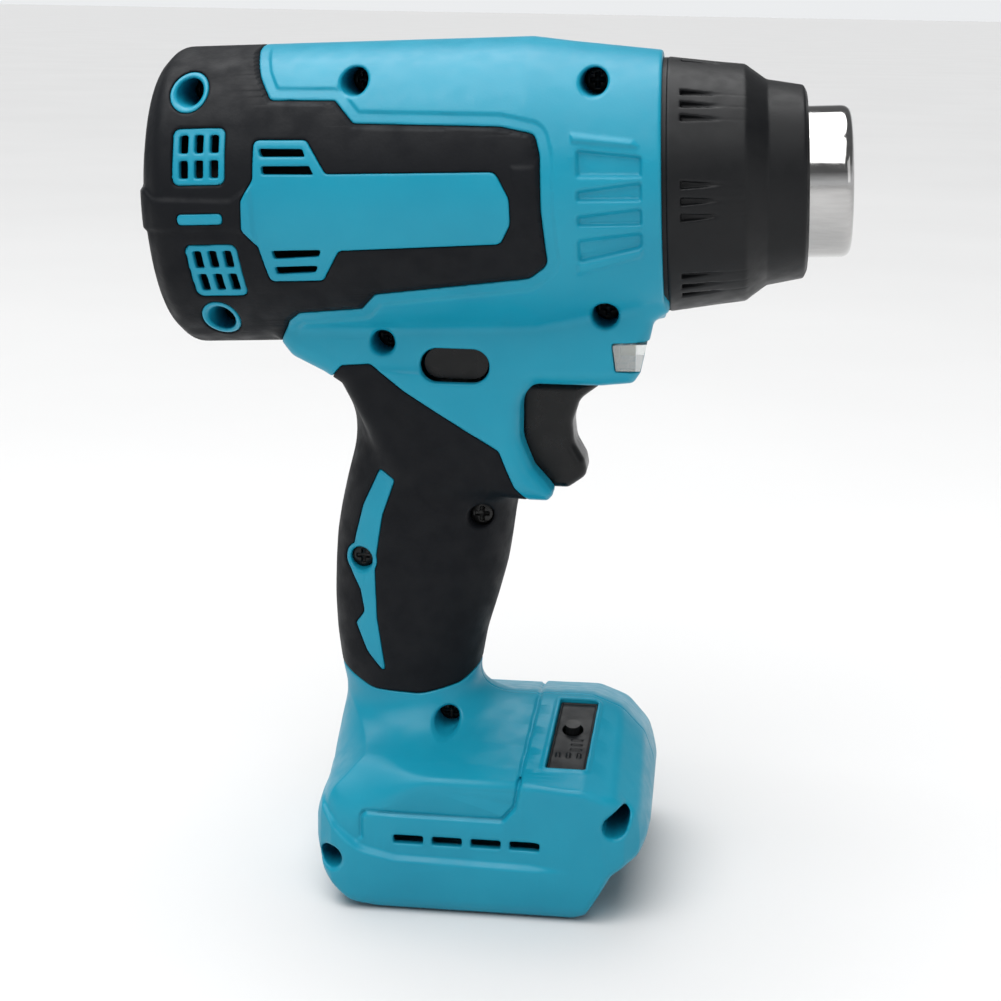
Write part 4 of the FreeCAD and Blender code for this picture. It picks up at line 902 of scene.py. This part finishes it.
BLUE = (0.004, 0.25, 0.375)
BLUE_LIGHT = (0.006, 0.28, 0.41)
materials = {
    "housing": plastic("housing_blue", BLUE, BLUE_LIGHT, 0.38, gloss=0.32),
    "rubber": rubber("rubber_black", (0.0035, 0.0042, 0.006), (0.005, 0.006, 0.008)),
    "collar": plastic("collar_black", (0.006, 0.0065, 0.0075), (0.009, 0.0095, 0.0105), 0.42, 1500,
                      gloss=0.2),
    "nozzle": metal("nozzle_steel", (0.42, 0.415, 0.41), (0.48, 0.475, 0.47), 0.1, (1, 6, 6)),
    "tube_steel": metal("tube_steel", (0.48, 0.46, 0.43), (0.6, 0.57, 0.52), 0.3, (1, 8, 8)),
    "mica": glowless("mica_sheet", (0.55, 0.47, 0.32), (0.68, 0.6, 0.44), 0.4),
    "heating_wire": metal("heating_wire", (0.24, 0.21, 0.19), (0.36, 0.31, 0.27), 0.42),
    "duct": plastic("duct_black", (0.02, 0.02, 0.022), (0.03, 0.03, 0.032), 0.5),
    "fan_plastic": plastic("fan_black", (0.035, 0.035, 0.038), (0.05, 0.05, 0.052), 0.42),
    "motor_steel": metal("motor_steel", (0.5, 0.5, 0.52), (0.62, 0.62, 0.63), 0.3, (1, 9, 9)),
    "magnet": glowless("magnet_black", (0.045, 0.045, 0.05), (0.07, 0.07, 0.075), 0.5, 0.0),
    "copper": metal("copper_winding", (0.7, 0.32, 0.14), (0.8, 0.4, 0.2), 0.3, (9, 1, 1)),
    "bronze": metal("bronze_bush", (0.5, 0.33, 0.14), (0.6, 0.42, 0.2), 0.38),
    "trigger": plastic("trigger_black", (0.0035, 0.004, 0.0045), (0.006, 0.0065, 0.007), 0.3,
                       gloss=0.25),
    "switch": plastic("switch_black", (0.014, 0.014, 0.015), (0.02, 0.02, 0.021), 0.4),
    "spring_steel": metal("spring_steel", (0.55, 0.55, 0.57), (0.7, 0.7, 0.71), 0.25),
    # Screws coloured near-black: painted shade of the deep wells they sit in.
    "screw": plastic("screw_shade_black", (0.004, 0.004, 0.004), (0.008, 0.008, 0.008), 0.3, gloss=0.3),
    "lens": glass("lens_clear", (0.93, 0.96, 0.95), 0.06),
    "led": glowless("lamp_chip", (0.85, 0.8, 0.45), (0.95, 0.92, 0.7), 0.2),
    "board": glowless("circuit_board", (0.006, 0.09, 0.03), (0.012, 0.13, 0.05), 0.35),
    "display": plastic("display_black", (0.008, 0.009, 0.01), (0.012, 0.013, 0.014), 0.4, gloss=0.2),
    "button": plastic("button_black", (0.008, 0.0085, 0.009), (0.012, 0.0125, 0.013), 0.36, gloss=0.25),
    "heat_sink": metal("heat_sink_alloy", (0.66, 0.67, 0.69), (0.76, 0.77, 0.78), 0.35, (9, 1, 1)),
    "component": glowless("component_black", (0.015, 0.015, 0.016), (0.025, 0.025, 0.026), 0.4),
    "terminal_plastic": plastic("terminal_black", (0.02, 0.02, 0.022), (0.03, 0.03, 0.031), 0.45),
    "terminal_metal": metal("terminal_plating", (0.75, 0.68, 0.48), (0.82, 0.76, 0.58), 0.22),
}
NODE_SLOTS = {row["node"]: row["material_slot"] for row in frame["record"]["subparts"]}
for name, node in nodes.items():
    node.data.materials.clear()
    node.data.materials.append(materials[NODE_SLOTS[name]])


# ---------------------------------------------------------------- pieces
def dress(piece, body, slot, cad_node):
    piece.data.materials.append(materials[slot])
    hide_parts(cad_node)
    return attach(piece, body)


def put(name, made, body, slot, cad_node, keep=0.3, mirror=False, tilted=False):
    """Mesh a field and let it stand for its CAD node."""
    return dress(solid(name, *made, keep=keep, mirror=mirror, tilted=tilted), body, slot, cad_node)


KEEP = 0.26
for side, near in (("right", True), ("left", False)):
    halves = mouldings(near)
    put(side + "_shell", halves["housing"], "housing", "housing", side + "_housing",
        keep=KEEP, mirror=not near)
    for label in ("bumper", "grip_rubber"):
        put(side + "_" + label + "_skin", halves[label], "housing", "rubber",
            side + "_" + label, keep=KEEP, mirror=not near)
    del halves
put("guard_collar", collar_field(), "collar", "collar", "front_collar", keep=0.5, tilted=True)
put("trigger_blade", trigger_field(), "trigger", "trigger", "trigger", keep=0.5)
put("display_cover", pane_field(), "housing", "display", "display_window", keep=0.5)
for group, places, tilted in (("cap", BARREL_SCREWS, True), ("body", BODY_SCREWS, False)):
    for number, place in enumerate(places, 1):
        put("%s_screw_%d" % (group, number), screw_field(*place), "housing", "screw",
            "housing_screws", keep=0.6, tilted=tilted)
nozzle_tube = turned("nozzle_tube", [
    (34, 17.1), (72.4, 17.1, 0.2), (72.8, 17.5, 0.2), (84.0, 17.5, 7.6), (84.0, 12.3, 0.5),
    (83.1, 12.3, 0.3), (83.0, 16.6, 7.0), (34, 16.6),
])
dress(nozzle_tube, "housing", "nozzle", "nozzle")
spring = dress(coiled("return_spring"), "housing", "spring_steel", "trigger_spring")
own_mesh(spring)


# ---------------------------------------------------------------- stage, light and camera
def lamp(name, place, aim, size, power, colour=(1, 1, 1)):
    light = bpy.data.lights.new(name, "AREA")
    light.shape = "RECTANGLE"
    light.size, light.size_y = size
    light.energy = power
    light.color = colour
    holder = bpy.data.objects.new(name, light)
    bpy.context.scene.collection.objects.link(holder)
    holder.location = place
    holder.rotation_euler = (Vector(aim) - Vector(place)).to_track_quat("-Z", "Y").to_euler()
    return holder


def pale_floor():
    mesh = bpy.data.meshes.new("studio_floor")
    form = bmesh.new()
    bmesh.ops.create_grid(form, x_segments=2, y_segments=2, size=60.0)
    form.to_mesh(mesh)
    form.free()
    floor = bpy.data.objects.new("studio_floor", mesh)
    bpy.context.scene.collection.objects.link(floor)
    floor.location.z = -0.0004
    s = Shader("floor_paper", (0.7, 0.7, 0.7), 0.8, Specular_IOR_Level=0.2)
    s.mix(s.ramp(s.noise(3.0), 0.0, 1.0), (0.69, 0.69, 0.69), (0.71, 0.71, 0.71))
    mesh.materials.append(s.material)


def studio_world():
    """Pale at the horizon, like the floor, and greyer above for the chrome to reflect."""
    world = bpy.data.worlds.new("studio")
    bpy.context.scene.world = world
    world.use_nodes = True
    tree = world.node_tree
    light = tree.nodes["Background"]
    light.inputs["Color"].default_value = (0.97, 0.985, 1.0, 1)
    place = tree.nodes.new("ShaderNodeTexCoord").outputs["Generated"]
    height = tree.nodes.new("ShaderNodeSeparateXYZ")
    tree.links.new(place, height.inputs[0])
    level = tree.nodes.new("ShaderNodeMapRange")
    for socket, value in (("From Min", 0.05), ("From Max", 0.32), ("To Min", 0.86),
                          ("To Max", 0.16)):
        level.inputs[socket].default_value = value
    tree.links.new(height.outputs["Z"], level.inputs["Value"])
    tree.links.new(level.outputs["Result"], light.inputs["Strength"])


def soft_sun(name, direction, strength, spread):
    light = bpy.data.lights.new(name, "SUN")
    light.energy = strength
    light.angle = math.radians(spread)
    holder = bpy.data.objects.new(name, light)
    bpy.context.scene.collection.objects.link(holder)
    holder.rotation_euler = Vector(direction).to_track_quat("Z", "Y").to_euler()


pale_floor()
studio_world()
lamp("key_light", (-0.2, -0.72, 1.3), (0, 0, 0.12), (1.5, 1.1), 15)
lamp("fill_light", (1.3, -1.0, 0.7), (0, 0, 0.1), (0.9, 0.9), 2.0)
soft_sun("sky_light", (-0.15, 0.25, 1.0), 3.0, 60)

CAMERA_PLACE = Vector((53.0, -472.8, 211.5)) * MM
CAMERA_TARGET = Vector((3.29, 0.0, 92.97)) * MM
CAMERA_ROLL = math.radians(1.0)
camera_data = bpy.data.cameras.new("camera")
camera_data.sensor_width = 36.0
camera_data.lens = 71.37
camera_data.clip_start = 0.02
camera = bpy.data.objects.new("camera", camera_data)
bpy.context.scene.collection.objects.link(camera)
aim = (CAMERA_TARGET - CAMERA_PLACE).to_track_quat("-Z", "Y").to_matrix()
camera.matrix_world = (Matrix.Translation(CAMERA_PLACE)
                       @ (aim @ Matrix.Rotation(CAMERA_ROLL, 3, "Z")).to_4x4())
bpy.context.scene.camera = camera
bpy.context.scene.view_settings.view_transform = "Standard"

import json
